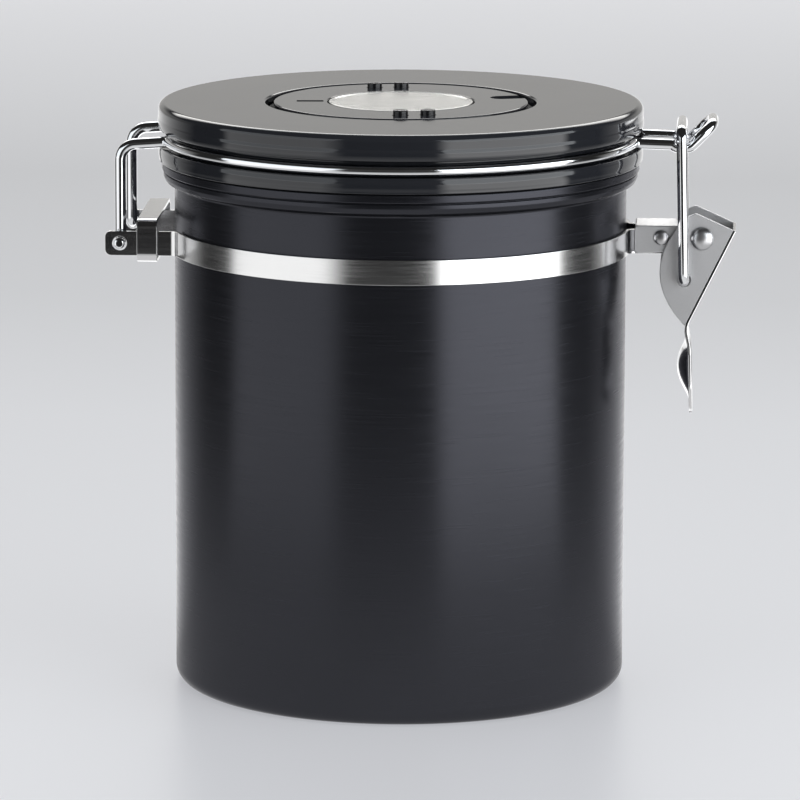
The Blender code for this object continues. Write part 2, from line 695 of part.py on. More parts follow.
def lid_wire_side(side):
    """Half of the lid wire, from its hinge pin round the groove to its hook's tip."""
    pin_y = side * (EAR_SPREAD + BAND_THICKNESS / 2 + PIN_PROUD)
    leg_y = side * LEG_SPREAD
    hook_y = side * HOOK_SPREAD
    ring, ring_z = WIRE_RING_RADIUS, WIRE_RING_Z
    leg_angle = math.degrees(math.atan2(leg_y, -math.sqrt(ring ** 2 - leg_y ** 2)))
    hook_angle = math.degrees(math.atan2(hook_y, math.sqrt(ring ** 2 - hook_y ** 2)))
    corners = [(HINGE.x, pin_y, HINGE.z), (HINGE.x, leg_y, HINGE.z),
               (HINGE.x, leg_y, ring_z - LEG_TOP_DROP)]
    radii = [0, BAIL_FOOT_BEND, LEG_BEND]
    circle = arc((0, 0), ring, leg_angle, hook_angle, 24)
    for index, (x, y) in enumerate(circle):
        corners.append((x, y, ring_z))
        radii.append(ENTRY_BEND if index in (0, len(circle) - 1) else 0)
    nook = FLANGE_RADIUS + HOOK_NOOK_FROM_LID
    nook_z = ring_z - HOOK_NOOK_DROP
    corners += [(nook - HOOK_NOOK_DROP, hook_y, ring_z - GAP), (nook, hook_y, nook_z),
                (nook + HOOK_NOOK_LENGTH, hook_y, nook_z)]
    radii += [NOOK_BEND, NOOK_BEND, HOOK_FOOT_BEND]
    tip_x = nook + HOOK_NOOK_LENGTH + HOOK_RUN
    corners += [(tip_x, hook_y, nook_z + HOOK_RISE), (tip_x, 0, nook_z + HOOK_RISE)]
    radii += [HOOK_CORNER, 0]
    return rounded(corners, radii, 5)


def make_lid_wire(material):
    """One wire: hinge legs, the ring round the lid, and the hook for the latch."""
    front = lid_wire_side(-1)
    rear = lid_wire_side(1)
    return wire("lid_wire", front + rear[::-1][1:], LID_WIRE, material)


def make_lid_cap(material):
    """Moulded lid: skirt, wire groove, rounded shoulder, top, and the well for the dial."""
    edge = 0.0003
    widest = GROOVE_TOP + UPPER_FLANGE_HEIGHT * 0.4
    outline = [
        (SKIRT_INNER, SKIRT_Z), (FLANGE_RADIUS - 2 * edge, SKIRT_Z), (FLANGE_RADIUS, SKIRT_Z + 2 * edge),
        (FLANGE_RADIUS, GROOVE_Z - edge), (FLANGE_RADIUS - edge, GROOVE_Z), (GROOVE_FLOOR, GROOVE_Z),
        (GROOVE_FLOOR, GROOVE_TOP), (FLANGE_RADIUS - edge, GROOVE_TOP), (FLANGE_RADIUS, GROOVE_TOP + edge),
        (LID_RADIUS, widest),
    ]
    shoulder_centre = (LID_RADIUS - SHOULDER_RADIUS - edge / 2, LID_TOP - SHOULDER_RADIUS)
    outline += arc(shoulder_centre, SHOULDER_RADIUS, 0, 90, 5)
    outline += [
        (WELL_RADIUS, LID_TOP), (WELL_RADIUS, WELL_FLOOR),
        (SPINDLE_STUB + GAP, WELL_FLOOR), (SPINDLE_STUB + GAP, DECK_UNDER),
        (FRAME_WALL_INNER, DECK_UNDER), (FRAME_WALL_INNER, GASKET_TOP + GAP),
        (SKIRT_INNER, GASKET_TOP + GAP),
    ]
    return turned("lid_cap", outline, FINE, material)


def make_gasket(material):
    """Silicone seal over the rim of the mouth, with a shallow groove for the rim."""
    middle = NECK_RADIUS - NECK_WALL / 2
    outline = [
        (GASKET_INNER, GASKET_Z), (middle - 0.0008, GASKET_Z), (middle, GASKET_Z + 0.0001),
        (middle + 0.0008, GASKET_Z), (GASKET_OUTER, GASKET_Z), (GASKET_OUTER, GASKET_TOP),
        (GASKET_INNER, GASKET_TOP),
    ]
    return turned("lid_gasket", outline, FINE, material)


def make_liner(material):
    """Pressed pan that closes the underside of the lid."""
    low = LINER_TOP - LINER_PLATE
    high = DECK_UNDER - GAP
    hole = VALVE_RADIUS + GAP
    soft = 0.0004
    outline = [
        (hole, low), (LINER_RADIUS - soft, low), (LINER_RADIUS, low + soft), (LINER_RADIUS, high),
        (LINER_RADIUS - LINER_WALL, high), (LINER_RADIUS - LINER_WALL, LINER_TOP), (hole, LINER_TOP),
    ]
    return turned("lid_liner", outline, FINE, material)


def make_valve_housing(material):
    """Valve cup in the liner's hole, with a perforated seat for the diaphragm."""
    flange_z = LINER_TOP + GAP
    seat_top = flange_z + VALVE_SEAT_THICKNESS
    bore = VALVE_RADIUS - VALVE_WALL
    foot = LINER_TOP - LINER_PLATE - GAP
    stem_hole = STEM_RADIUS + GAP
    outline = [
        (stem_hole, flange_z), (bore, flange_z), (bore, foot), (VALVE_RADIUS, foot),
        (VALVE_RADIUS, flange_z), (VALVE_RADIUS + VALVE_FLANGE, flange_z),
        (VALVE_RADIUS + VALVE_FLANGE, seat_top), (VALVE_RADIUS, seat_top),
        (VALVE_RADIUS, LINER_TOP + VALVE_TOP), (bore, LINER_TOP + VALVE_TOP), (bore, seat_top),
        (stem_hole, seat_top),
    ]
    housing = turned("valve_housing", outline, MEDIUM, material)
    ports = bmesh.new()
    for index in range(PORT_COUNT):
        angle = 2 * math.pi * index / PORT_COUNT
        centre = (PORT_ORBIT * math.cos(angle), PORT_ORBIT * math.sin(angle))
        low, high = flange_z - GAP, seat_top + GAP
        add_turned(ports, [(0, low), (PORT_RADIUS, low), (PORT_RADIUS, high), (0, high)], 8, centre)
    cut(housing, "valve_ports", ports)
    return housing


def make_diaphragm(material):
    """Silicone flap that lifts to let gas out; its bulb hangs below the seat."""
    seat_under = LINER_TOP + GAP
    low = seat_under + VALVE_SEAT_THICKNESS + GAP
    bulb_top = seat_under - VALVE_LIFT - GAP
    outline = [
        (0, bulb_top - STEM_BULB), (STEM_BULB * 0.7, bulb_top - STEM_BULB * 0.8), (STEM_BULB, bulb_top),
        (STEM_RADIUS, bulb_top), (STEM_RADIUS, low), (DIAPHRAGM_RADIUS, low),
        (DIAPHRAGM_RADIUS, low + DIAPHRAGM_THICKNESS * 0.5), (STEM_BULB, low + DIAPHRAGM_THICKNESS),
        (0, low + DIAPHRAGM_THICKNESS),
    ]
    return turned("valve_diaphragm", outline, MEDIUM, material)


def retainer_heights():
    """Bottom and top of the valve's filter cap."""
    top = LINER_TOP - LINER_PLATE - GAP
    return top - RETAINER_DEPTH, top


def make_retainer(material):
    """Perforated cap under the valve that holds its filter."""
    low, high = retainer_heights()
    bore = FILTER_RADIUS + GAP
    outer = bore + RETAINER_WALL
    soft = 0.0005
    outline = [
        (0, low), (outer - soft, low), (outer, low + soft), (outer, high), (bore, high),
        (bore, low + RETAINER_PLATE), (0, low + RETAINER_PLATE),
    ]
    retainer = turned("valve_filter_cap", outline, MEDIUM, material)
    vents = bmesh.new()
    for orbit, count in VENT_ORBITS:
        for index in range(count):
            angle = 2 * math.pi * index / count
            centre = (orbit * math.cos(angle), orbit * math.sin(angle))
            bottom, top = low - GAP, low + RETAINER_PLATE + GAP
            outline = [(0, bottom), (VENT_RADIUS, bottom), (VENT_RADIUS, top), (0, top)]
            add_turned(vents, outline, 8, centre)
    cut(retainer, "cap_vents", vents)
    return retainer


def make_filter(material):
    """Fibre disc in the valve's cap, held below the diaphragm's bulb."""
    low = retainer_heights()[0] + RETAINER_PLATE + GAP
    high = low + FILTER_THICKNESS
    hollow = STEM_BULB + 2 * GAP
    outline = [(hollow, low), (FILTER_RADIUS, low), (FILTER_RADIUS, high), (hollow, high)]
    return turned("valve_filter", outline, MEDIUM, material)


def make_spindle(material):
    """Hub that the dial turns on, with a stub through the deck."""
    bore = SCREW_SHANK + GAP
    outline = [
        (bore, DECK_UNDER + GAP), (SPINDLE_STUB, DECK_UNDER + GAP), (SPINDLE_STUB, CARRIER_Z),
        (SPINDLE_RADIUS, CARRIER_Z), (SPINDLE_RADIUS, CARRIER_TOP), (0, CARRIER_TOP),
        (0, CARRIER_TOP - GAP), (bore, CARRIER_TOP - GAP),
    ]
    return turned("dial_spindle", outline, MEDIUM, material)


def make_spindle_screw(material):
    """Screw from below that pulls the spindle onto the deck."""
    head_top = DECK_UNDER - GAP
    shank_top = CARRIER_TOP - 2 * GAP
    slot = 0.0012
    outline = [
        (0, head_top - slot), (SCREW_HEAD * 0.8, head_top - slot), (SCREW_HEAD, head_top - slot * 0.5),
        (SCREW_HEAD, head_top), (SCREW_SHANK, head_top), (SCREW_SHANK, shank_top), (0, shank_top),
    ]
    return turned("spindle_screw", outline, SMALL, material)


def make_carrier(material):
    """Moulded ring under the dial that runs on the spindle."""
    outline = [
        (SPINDLE_RADIUS + SPINDLE_PLAY, CARRIER_Z), (CARRIER_RADIUS, CARRIER_Z),
        (CARRIER_RADIUS, CARRIER_TOP), (SPINDLE_RADIUS + SPINDLE_PLAY, CARRIER_TOP),
    ]
    return turned("dial_carrier", outline, MEDIUM, material)


def make_centre_disc(material):
    """Plain centre disc, fixed to the spindle over the dial's hole."""
    edge = 0.0002
    outline = [
        (0, DIAL_Z), (CENTRE_DISC_RADIUS, DIAL_Z), (CENTRE_DISC_RADIUS, LID_TOP - edge),
        (CENTRE_DISC_RADIUS - edge, LID_TOP), (0, LID_TOP),
    ]
    return turned("centre_disc", outline, FINE, material)


def make_number_ring(material):
    """Ring of day numbers on the well's floor, seen through the dial's window."""
    low = CARRIER_Z
    high = low + NUMBER_RING_THICKNESS
    inner = CARRIER_RADIUS + 3 * GAP
    outer = WELL_RADIUS - GAP
    return turned("number_ring", [(inner, low), (outer, low), (outer, high), (inner, high)], FINE, material)


def peg_spots():
    """Centres of the four dial pegs, in two opposite pairs."""
    spots = []
    half = math.asin(PEG_SPACING / 2 / PEG_ORBIT)
    for azimuth in (PEG_AZIMUTH, PEG_AZIMUTH + math.pi):
        for angle in (azimuth - half, azimuth + half):
            spots.append((PEG_ORBIT * math.cos(angle), PEG_ORBIT * math.sin(angle)))
    return spots


def make_dial(material):
    """Dial with a window that is open to its edge, an engraved mark and four peg holes."""
    edge = 0.0002
    outline = [
        (DIAL_HOLE, DIAL_Z), (DIAL_RADIUS, DIAL_Z), (DIAL_RADIUS, LID_TOP - edge),
        (DIAL_RADIUS - edge, LID_TOP), (DIAL_HOLE, LID_TOP),
    ]
    dial = turned("date_dial", outline, FINE, material)
    below, above = DIAL_Z - GAP, LID_TOP + GAP
    cutters = bmesh.new()
    for centre in peg_spots():
        radius = PEG_RADIUS + GAP * 0.7
        add_turned(cutters, [(0, below), (radius, below), (radius, above), (0, above)], SMALL, centre)
    half = WINDOW_WIDTH / 2
    window = [(DIAL_RADIUS + half, -half), (DIAL_RADIUS + half, half)]
    window += arc((WINDOW_INNER + half, 0), half, 90, 270, 10)
    add_prism(cutters, turn_about_axis(window, WINDOW_AZIMUTH), below, above, flat)
    half = MARK_WIDTH / 2
    start = DIAL_HOLE + MARK_MARGIN
    mark = [(start, -half), (start + MARK_LENGTH, -half), (start + MARK_LENGTH, half), (start, half)]
    add_prism(cutters, turn_about_axis(mark, MARK_AZIMUTH), LID_TOP - MARK_DEPTH, above, flat)
    cut(dial, "dial_cuts", cutters)
    return dial


def turn_about_axis(points, angle):
    cosine, sine = math.cos(angle), math.sin(angle)
    return [(x * cosine - y * sine, x * sine + y * cosine) for x, y in points]


def make_peg(name, centre, material):
    """Finger peg of the dial, with a foot under it."""
    foot_top = DIAL_Z - GAP
    foot = foot_top - GAP
    top = LID_TOP + PEG_HEIGHT
    edge = 0.0004
    outline = [
        (0, foot), (PEG_FOOT_RADIUS, foot), (PEG_FOOT_RADIUS, foot_top), (PEG_RADIUS, foot_top),
        (PEG_RADIUS, top - edge), (PEG_RADIUS - edge * 0.3, top - edge * 0.3), (PEG_RADIUS - edge, top),
        (0, top),
    ]
    return turned(name, outline, SMALL, material, centre)


def carry(name, place, pieces, parent=None):
    """Empty on a joint's axis that carries the pieces that move about it."""
    empty = bpy.data.objects.new(name, None)
    bpy.context.collection.objects.link(empty)
    empty.location = place
    if parent:
        empty.parent = parent
        empty.matrix_parent_inverse = parent.matrix_world.inverted()
    bpy.context.view_layer.update()
    for piece in pieces:
        piece.parent = empty
        piece.matrix_parent_inverse = empty.matrix_world.inverted()
        for modifier in piece.modifiers:
            if modifier.type == "BOOLEAN":
                modifier.object.parent = empty
                modifier.object.matrix_parent_inverse = empty.matrix_world.inverted()
    return empty


def main():
    clear_scene()
    coated = make_material("coated_steel", (0.045, 0.046, 0.052), 0.6, 0.38)
    polished = make_material("polished_steel", (0.62, 0.62, 0.63), 1.0, 0.16)
    chrome = make_material("chrome_wire", (0.75, 0.76, 0.78), 1.0, 0.08)
    brushed = make_material("brushed_steel", (0.72, 0.72, 0.70), 1.0, 0.32)
    gloss = make_material("gloss_plastic", (0.018, 0.021, 0.027), 0.0, 0.12)
    black = make_material("black_plastic", (0.02, 0.02, 0.02), 0.0, 0.4)
    silicone = make_material("silicone", (0.55, 0.55, 0.53), 0.0, 0.5)
    fibre = make_material("filter_fibre", (0.8, 0.79, 0.74), 0.0, 0.9)

    make_body(coated)
    make_half_band("band_front", -1, polished)
    make_half_band("band_rear", 1, polished)
    make_clasp(polished)
    make_bracket(polished)
    make_bracket_rivet("bracket_rivet_front", -1, polished)
    make_bracket_rivet("bracket_rivet_rear", 1, polished)
    make_pivot_pin(polished)

    lid_pieces = [
        make_lid_wire(chrome), make_lid_cap(gloss), make_gasket(silicone),
        make_liner(polished), make_valve_housing(black), make_retainer(black), make_filter(fibre),
        make_spindle(black), make_spindle_screw(polished), make_centre_disc(brushed), make_number_ring(black),
    ]
    lid_axis = carry("lid_axis", HINGE, lid_pieces)
    dial_pieces = [make_carrier(black), make_dial(gloss)]
    for number, centre in enumerate(peg_spots(), start=1):
        dial_pieces.append(make_peg(f"dial_peg_{number}", centre, black))
    carry("dial_axis", (0, 0, CARRIER_Z), dial_pieces, lid_axis)
    carry("valve_axis", (0, 0, LINER_TOP), [make_diaphragm(silicone)], lid_axis)
    lever_axis = carry("lever_axis", PIVOT, [make_lever(polished)])
    carry("bail_axis", BAIL_PIVOT, [make_bail(chrome)], lever_axis)


main()
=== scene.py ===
"""Looks of the clip-top storage canister: fine pieces, materials, light and camera.

Metres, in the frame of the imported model: the origin is the middle of the flat base, the
hinge is at -X, the latch at +X and the front at -Y.
"""

import json
from math import atan2, cos, degrees, pi, radians, sin, sqrt, tan

import bmesh
import bpy
from mathutils import Matrix, Vector


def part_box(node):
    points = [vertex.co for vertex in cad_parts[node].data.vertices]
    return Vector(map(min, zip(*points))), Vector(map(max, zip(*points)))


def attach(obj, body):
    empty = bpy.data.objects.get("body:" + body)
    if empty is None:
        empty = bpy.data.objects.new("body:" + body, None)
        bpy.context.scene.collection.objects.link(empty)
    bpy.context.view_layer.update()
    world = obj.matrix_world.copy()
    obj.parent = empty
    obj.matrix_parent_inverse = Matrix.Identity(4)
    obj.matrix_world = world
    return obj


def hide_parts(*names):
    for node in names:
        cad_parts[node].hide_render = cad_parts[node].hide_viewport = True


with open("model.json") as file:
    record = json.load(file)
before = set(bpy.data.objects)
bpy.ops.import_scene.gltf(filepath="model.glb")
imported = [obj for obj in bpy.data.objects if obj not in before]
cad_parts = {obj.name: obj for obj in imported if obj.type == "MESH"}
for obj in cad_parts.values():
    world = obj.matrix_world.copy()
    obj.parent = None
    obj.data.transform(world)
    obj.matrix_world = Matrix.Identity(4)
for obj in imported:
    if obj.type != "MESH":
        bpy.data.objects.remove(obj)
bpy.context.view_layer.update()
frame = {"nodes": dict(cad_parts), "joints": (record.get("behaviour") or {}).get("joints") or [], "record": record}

BODY_OF = {node: body for body, nodes in frame["record"]["behaviour"]["bodies"].items() for node in nodes}
JOINT_AT = {joint["name"]: Vector(joint["pos_m"]) for joint in frame["joints"] if "pos_m" in joint}
MATERIALS = {}                 # by name, as new_material makes them

# How fine the round shapes are
ROUND = 192                    # sides of the large turned pieces
MEDIUM_ROUND = 96              # sides of the valve's cap and the floor
SMALL_ROUND = 64               # sides of pins, pegs and holes
VENT_ROUND = 24                # sides of the vents

# Room between pieces, and softened ends and edges
GAP = 0.0003                   # clearance between neighbouring pieces
HOLE_ROOM = 0.0004             # wire holes beyond the wire
WIRE_CUT = 0.18                # length of a wire's rounded end, in diameters
WIRE_END = ((0, 0.62), (0.3, 0.85), (0.65, 0.96), (1, 1))    # shares of it and of the radius
FINE_EDGE = 0.00012            # edge of cut sheet metal
CHEEK_EDGE = 0.00035           # edge of the lever's cheeks
BEND_EDGE = 0.0004             # outer edges of the bracket
HOLE_EDGE = 0.00008            # edges of the bracket's holes and inside
VENT_EDGE = 0.0001

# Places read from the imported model
BODY_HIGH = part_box("body_shell")[1]
LID_LOW, LID_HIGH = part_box("lid_cap")
DIAL_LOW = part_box("date_dial")[0]
BAND_LOW, BAND_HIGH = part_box("band_front")
CLASP_LOW, CLASP_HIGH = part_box("hinge_clasp")
BRACKET_LOW, BRACKET_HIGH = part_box("latch_bracket")
LEVER_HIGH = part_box("latch_lever")[1]
BAIL_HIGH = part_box("latch_bail")[1]
GASKET_LOW, GASKET_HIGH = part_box("lid_gasket")
LINER_LOW, LINER_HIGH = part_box("lid_liner")
CAP_LOW, CAP_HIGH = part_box("valve_filter_cap")
RING_LOW, RING_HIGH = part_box("number_ring")
DISC_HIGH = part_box("centre_disc")[1]
HINGE = JOINT_AT["lid_hinge"]
PIVOT = JOINT_AT["lever_pivot"]
BAIL_PIVOT = JOINT_AT["bail_swing"]

# Body
COLLAR_BULGE = 0.0033          # beyond the wall, as the other bulges
BODY_RADIUS = BODY_HIGH.x - COLLAR_BULGE
BODY_WALL = 0.0008
BASE_FILLET = 0.0057
RIM_Z = BODY_HIGH.z
NECK_HEIGHT = 0.0013
NECK_BULGE = 0.0014
NECK_WALL = 0.0011
COLLAR_HEIGHT = 0.0026
BEAD_HEIGHT = 0.0033
BEAD_BULGE = 0.0029
COLLAR_TOP = RIM_Z - NECK_HEIGHT
BEAD_TOP = COLLAR_TOP - COLLAR_HEIGHT
WALL_HEIGHT = BEAD_TOP - BEAD_HEIGHT

# Lid
LID_RADIUS = LID_HIGH.x
FLANGE_RADIUS = LID_RADIUS - 0.0002    # lower flange, a little inside the upper one
LID_TOP = LID_HIGH.z
SKIRT_Z = LID_LOW.z
SKIRT_WALL = 0.0020
SKIRT_INNER = FLANGE_RADIUS - SKIRT_WALL
GASKET_WIDTH = 0.0038
LOWER_FLANGE_HEIGHT = 0.0040
GROOVE_HEIGHT = 0.0043
SHOULDER_RADIUS = 0.0036
GROOVE_Z = SKIRT_Z + LOWER_FLANGE_HEIGHT
GROOVE_TOP = GROOVE_Z + GROOVE_HEIGHT
LID_WIRE = 0.0029
WIRE_INSET = 0.0004
WIRE_RING_RADIUS = FLANGE_RADIUS - WIRE_INSET - LID_WIRE / 2
WIRE_RING_Z = GROOVE_Z + GAP + LID_WIRE / 2
GROOVE_FLOOR = WIRE_RING_RADIUS - LID_WIRE / 2 - GAP
LID_RIM_INNER = SKIRT_INNER - GASKET_WIDTH
DECK_THICKNESS = 0.0014
WELL_FLOOR = RING_LOW.z - GAP
DECK_UNDER = WELL_FLOOR - DECK_THICKNESS
RING_GAP_MORE = 0.0003         # the gap round the dial looks wider in the photograph
WELL_RADIUS = RING_HIGH.x + GAP + RING_GAP_MORE
STUB_HOLE = 0.0042

# Dial
DIAL_RADIUS = -DIAL_LOW.x - RING_GAP_MORE
DIAL_WIDTH = 0.0140
DIAL_HOLE = DIAL_RADIUS - DIAL_WIDTH
DIAL_Z = DIAL_LOW.z
DIAL_EDGE = 0.0006
PEGS = [f"dial_peg_{number}" for number in range(1, 5)]
PEG_RADIUS = 0.00195
PEG_HOLE = 0.00216
PEG_FOOT = 0.0025
PEG_HEIGHT = 0.0015
WINDOW_AZIMUTH = radians(18.5)
WINDOW_WIDTH = 0.0058
WINDOW_FROM_HOLE = 0.0052
WINDOW_INNER = DIAL_HOLE + WINDOW_FROM_HOLE
MARK_AZIMUTH = radians(-176.0)
MARK_FROM_HOLE = 0.0010
MARK_START = DIAL_HOLE + MARK_FROM_HOLE
MARK_LENGTH = 0.0070
MARK_WIDTH = 0.0026
MARK_CORNER = 0.0003
MARK_DEPTH = 0.0004
MARK_RELIEF = 0.0003           # top of the mark's paint below the dial
CARRIER_LEDGE = 0.0034         # from the dial's hole to the number ring
DAYS = 31
DAY_TEXT_HEIGHT = 0.0030
DAY_TEXT_RELIEF = 0.00012

# Clamp band, hinge and clasp
BAND_THICKNESS = 0.0009
BAND_RADIUS = BODY_RADIUS + GAP + BAND_THICKNESS / 2
BEND_RADIUS = 0.0024
EAR_SPREAD = 0.0179
EAR_CORNER = 0.0016
ARM_SPREAD = 0.0046
WIRE_HOLE = LID_WIRE / 2 + HOLE_ROOM
LEG_SPREAD = 0.0150
LEG_TOP_DROP = 0.0009
LEG_BEND = 0.0042
FOOT_BEND = 0.0024
ENTRY_BEND = 0.0020
PIN_PROUD = 0.0006
CLASP_THICKNESS = 0.0009
CLASP_CORNER = 0.0016

# Hook of the lid wire
HOOK_SPREAD = 0.0079
NOOK_FROM_LID = 0.0087
NOOK_LENGTH = 0.0036
NOOK_DROP = 0.0010
NOOK_BEND = 0.0015
HOOK_FOOT_BEND = 0.0025
HOOK_RUN = 0.0058
HOOK_RISE = 0.0059
HOOK_CORNER = 0.0046

# Latch
CHEEK_OUTER = BRACKET_HIGH.y
BRACKET_SHEET = 0.0008
BRACKET_NOSE = (BAND_HIGH.z - BAND_LOW.z) / 2
RIVET_FROM_PIVOT = 0.0106
RIVET = PIVOT - Vector((RIVET_FROM_PIVOT, 0, 0))
RIVET_SHANK = 0.00145
RIVET_HEAD = 0.00195
RIVET_DOME = 0.0007
PIVOT_SHANK = 0.0015
PIVOT_HEAD = 0.0030
PIVOT_DOME = 0.0014
LEVER_SHEET = 0.0008
LEVER_OUTER = LEVER_HIGH.y
LEVER_INNER = LEVER_OUTER - LEVER_SHEET
LEVER_HEAD_BACK = (-0.0041, 0.0056)
LEVER_HEAD_TOP = (-0.0017, 0.0067)
LEVER_SHOULDER = (0.0088, 0.0020)
LEVER_TAIL = (-0.0038, -0.0237)
LEVER_BELLY = 0.0070
TAB_KNEE = (-0.0026, -0.0290)
TAB_TIP = (-0.0021, -0.0470)
TAB_DISH = 0.0030
TAB_DISH_CENTRE = 0.0110
TAB_DISH_HALF = 0.0082
TAB_DISH_POWER = 1.2           # above 1 the dish runs out softly lengthwise
STRAP_STEP = 0.0003            # mesh of the strap, along and across it
STRAP_COLUMNS = 28
TAIL_BEND = 0.006
KNEE_BEND = 0.010
TIP_ROUND = 1.1                # length of the round tip, in half widths
TIP_FLAT = 0.3                 # width left at its very end, in whole widths
BAIL_WIRE = 0.0028
BAIL_SPREAD = BAIL_HIGH.y - BAIL_WIRE / 2
BAIL_TOP_Z = BAIL_HIGH.z - BAIL_WIRE / 2
BAIL_TOP_LEAN = 0.0010
BAIL_CORNER = 0.0026
BAIL_END = 0.0058

# Underside of the lid
VALVE_RADIUS = 0.0125
LINER_SHEET = 0.0010
CAP_WALL = 0.0014
CAP_PLATE = 0.0010
VENT_RADIUS = 0.0016
VENT_ORBITS = ((0.0, 1), (0.0050, 6), (0.0100, 8))

# Studio light, as radiance
FLOOR_RADIUS = 9.0
FLOOR_COLOR = (0.322, 0.330, 0.346)
# The floor's glow is painted light that the camera sees: brighter in front, dimmer some way behind the object,
# brighter again far back
FLOOR_GLOW_SPAN = (-0.2, 1.6)  # from front to back
FLOOR_GLOW = ((0.06, 0.41), (0.31, 0.33), (0.44, 0.245), (0.60, 0.21), (0.92, 0.39))
FLOOR_TINT = (0.97, 0.98, 1.03)
SURROUND_LIGHT = 0.45          # on rough surfaces, and past the floor's edge
SOFTBOX_DISTANCE = 1.40
SOFTBOX_COLOR = (0.93, 0.97, 1.0)
DARK = 0.02

# What reflections see: the world, and the painted light and painted softbox reflections on the floor. Shares are
# of the way to straight behind, or to the right.
BACKDROP = 0.61
BACKDROP_FADE = (0.17, 0.31)   # by height
# painted light on the floor behind the object, seen only in reflections
FLOOR_BEHIND = 1.15
BEHIND_FADE = (0.32, 0.88)
RIM_LIGHT = 4.5                # wide softbox above the backdrop
RIM_LIGHT_START = (0.32, 0.38) # by height, as its end
RIM_LIGHT_END = (0.62, 0.74)
RIM_LIGHT_SIDES = (0.72, 0.92)
# painted pool of light on the floor close to the object, seen only in reflections
NEAR_FLOOR = 0.85              # lit floor close to the object
NEAR_FLOOR_FADE = (0.16, 0.55)
FRONT = 0.05                   # room between the softboxes
FRONT_END = (0.35, 0.50)       # by height
# the floor's painted softbox reflections fade in with distance
MIRROR_FADE = (0.22, 0.45)     # where the softboxes start to show in the floor
BACKDROP_COLOR = (1.0, 0.985, 0.955)
# Painted reflections of the softboxes on the floor, which glossy rays see
RIGHT_SOFTBOX = 3.0
RIGHT_SOFTBOX_START = (0.33, 0.43)
LEFT_SOFTBOX = 1.25
LEFT_SOFTBOX_START = (-0.55, -0.38)
SOFTBOX_END = (-0.12, -0.04)

# Camera, matched to the photograph
CAMERA_AZIMUTH = radians(3.2)
CAMERA_DISTANCE = 1.6115
CAMERA_HEIGHT = 0.3787
CAMERA_PITCH = 0.18665
CAMERA_ROLL = 0.003
CAMERA_SENSOR = 36.0
CAMERA_LENS = 280.2


def set_inputs(tree, node, inputs):
    """Give a node's inputs, by name or number, the values or the sockets in inputs."""
    for key, value in inputs.items():
        slot = node.inputs[key]
        if isinstance(value, bpy.types.NodeSocket):
            tree.links.new(value, slot)
        elif slot.type == "RGBA":
            slot.default_value = (*value, 1)
        else:
            slot.default_value = value


def add_node(tree, kind, inputs, **settings):
    """Shader node with its settings and its inputs."""
    node = tree.nodes.new(kind)
    for name, value in settings.items():
        setattr(node, name, value)
    set_inputs(tree, node, inputs)
    return node


def new_material(name, color, metallic, roughness, **sockets):
    """Principled material; extra keywords name other sockets of the shader."""
    material = bpy.data.materials.new(name)
    material.use_nodes = True
    MATERIALS[name] = material
    tree = material.node_tree
    shader = tree.nodes["Principled BSDF"]
    set_inputs(tree, shader, {"Base Color": color, "Metallic": metallic, "Roughness": roughness})
    set_inputs(tree, shader, {socket.replace("_", " "): value for socket, value in sockets.items()})
    return tree, shader


def noise(tree, scale, stretch=(1, 1, 1), detail=4):
    """Noise in the piece's own space, finer along the axes with a larger stretch."""
    place = tree.nodes.new("ShaderNodeTexCoord").outputs["Object"]
    mapping = add_node(tree, "ShaderNodeMapping", {"Vector": place, "Scale": stretch})
    inputs = {"Vector": mapping.outputs["Vector"], "Scale": scale, "Detail": detail}
    return add_node(tree, "ShaderNodeTexNoise", inputs).outputs["Fac"]


def ranged(tree, source, low, high, start=0.3, end=0.7):
    """Source between start and end, spread from low to high."""
    inputs = {"Value": source, "From Min": start, "From Max": end, "To Min": low, "To Max": high}
    return add_node(tree, "ShaderNodeMapRange", inputs).outputs["Result"]


def mixed_color(tree, shader, factor, one, two):
    """Base colour that runs from one colour to another with factor."""
    inputs = {"Factor": factor, "A": one, "B": two}
    result = add_node(tree, "ShaderNodeMix", inputs, data_type="RGBA").outputs["Result"]
    tree.links.new(result, shader.inputs["Base Color"])
    return result


def vary_roughness(tree, shader, source, low, high):
    """Roughness that follows a noise."""
    tree.links.new(ranged(tree, source, low, high), shader.inputs["Roughness"])


def add_bump(tree, shader, *layers):
    """Bump from (height, strength, distance) layers, one on top of the other."""
    normal = None
    for height, strength, distance in layers:
        inputs = {"Height": height, "Strength": strength, "Distance": distance}
        if normal:
            inputs["Normal"] = normal
        normal = add_node(tree, "ShaderNodeBump", inputs).outputs["Normal"]
    tree.links.new(normal, shader.inputs["Normal"])


def worn_edges(tree, shader, base, color, amount):
    """Lighter colour where an edge stands proud, over the base colour."""
    geometry = tree.nodes.new("ShaderNodeNewGeometry")
    start, end = 0.53, 0.60    # pointiness of a slight and of a full edge
    edges = ranged(tree, geometry.outputs["Pointiness"], 0, amount, start, end)
    mixed_color(tree, shader, edges, base, color)


def coated_steel():
    """Charcoal coating over lightly brushed steel, with faint lines round the body."""
    tree, shader = new_material(
        "charcoal_coating", (0.034, 0.035, 0.041), 0.72, 0.24, Specular_Tint=(0.53, 0.53, 0.55))
    clouds = noise(tree, 28)
    lines = noise(tree, 55, (1, 1, 45), 3)
    grain = noise(tree, 2600)
    base = mixed_color(tree, shader, clouds, (0.031, 0.032, 0.038), (0.038, 0.039, 0.047))
    worn_edges(tree, shader, base, (0.16, 0.16, 0.17), 0.35)
    vary_roughness(tree, shader, lines, 0.20, 0.28)
    add_bump(tree, shader, (lines, 0.10, 0.0001), (grain, 0.12, 0.00004))


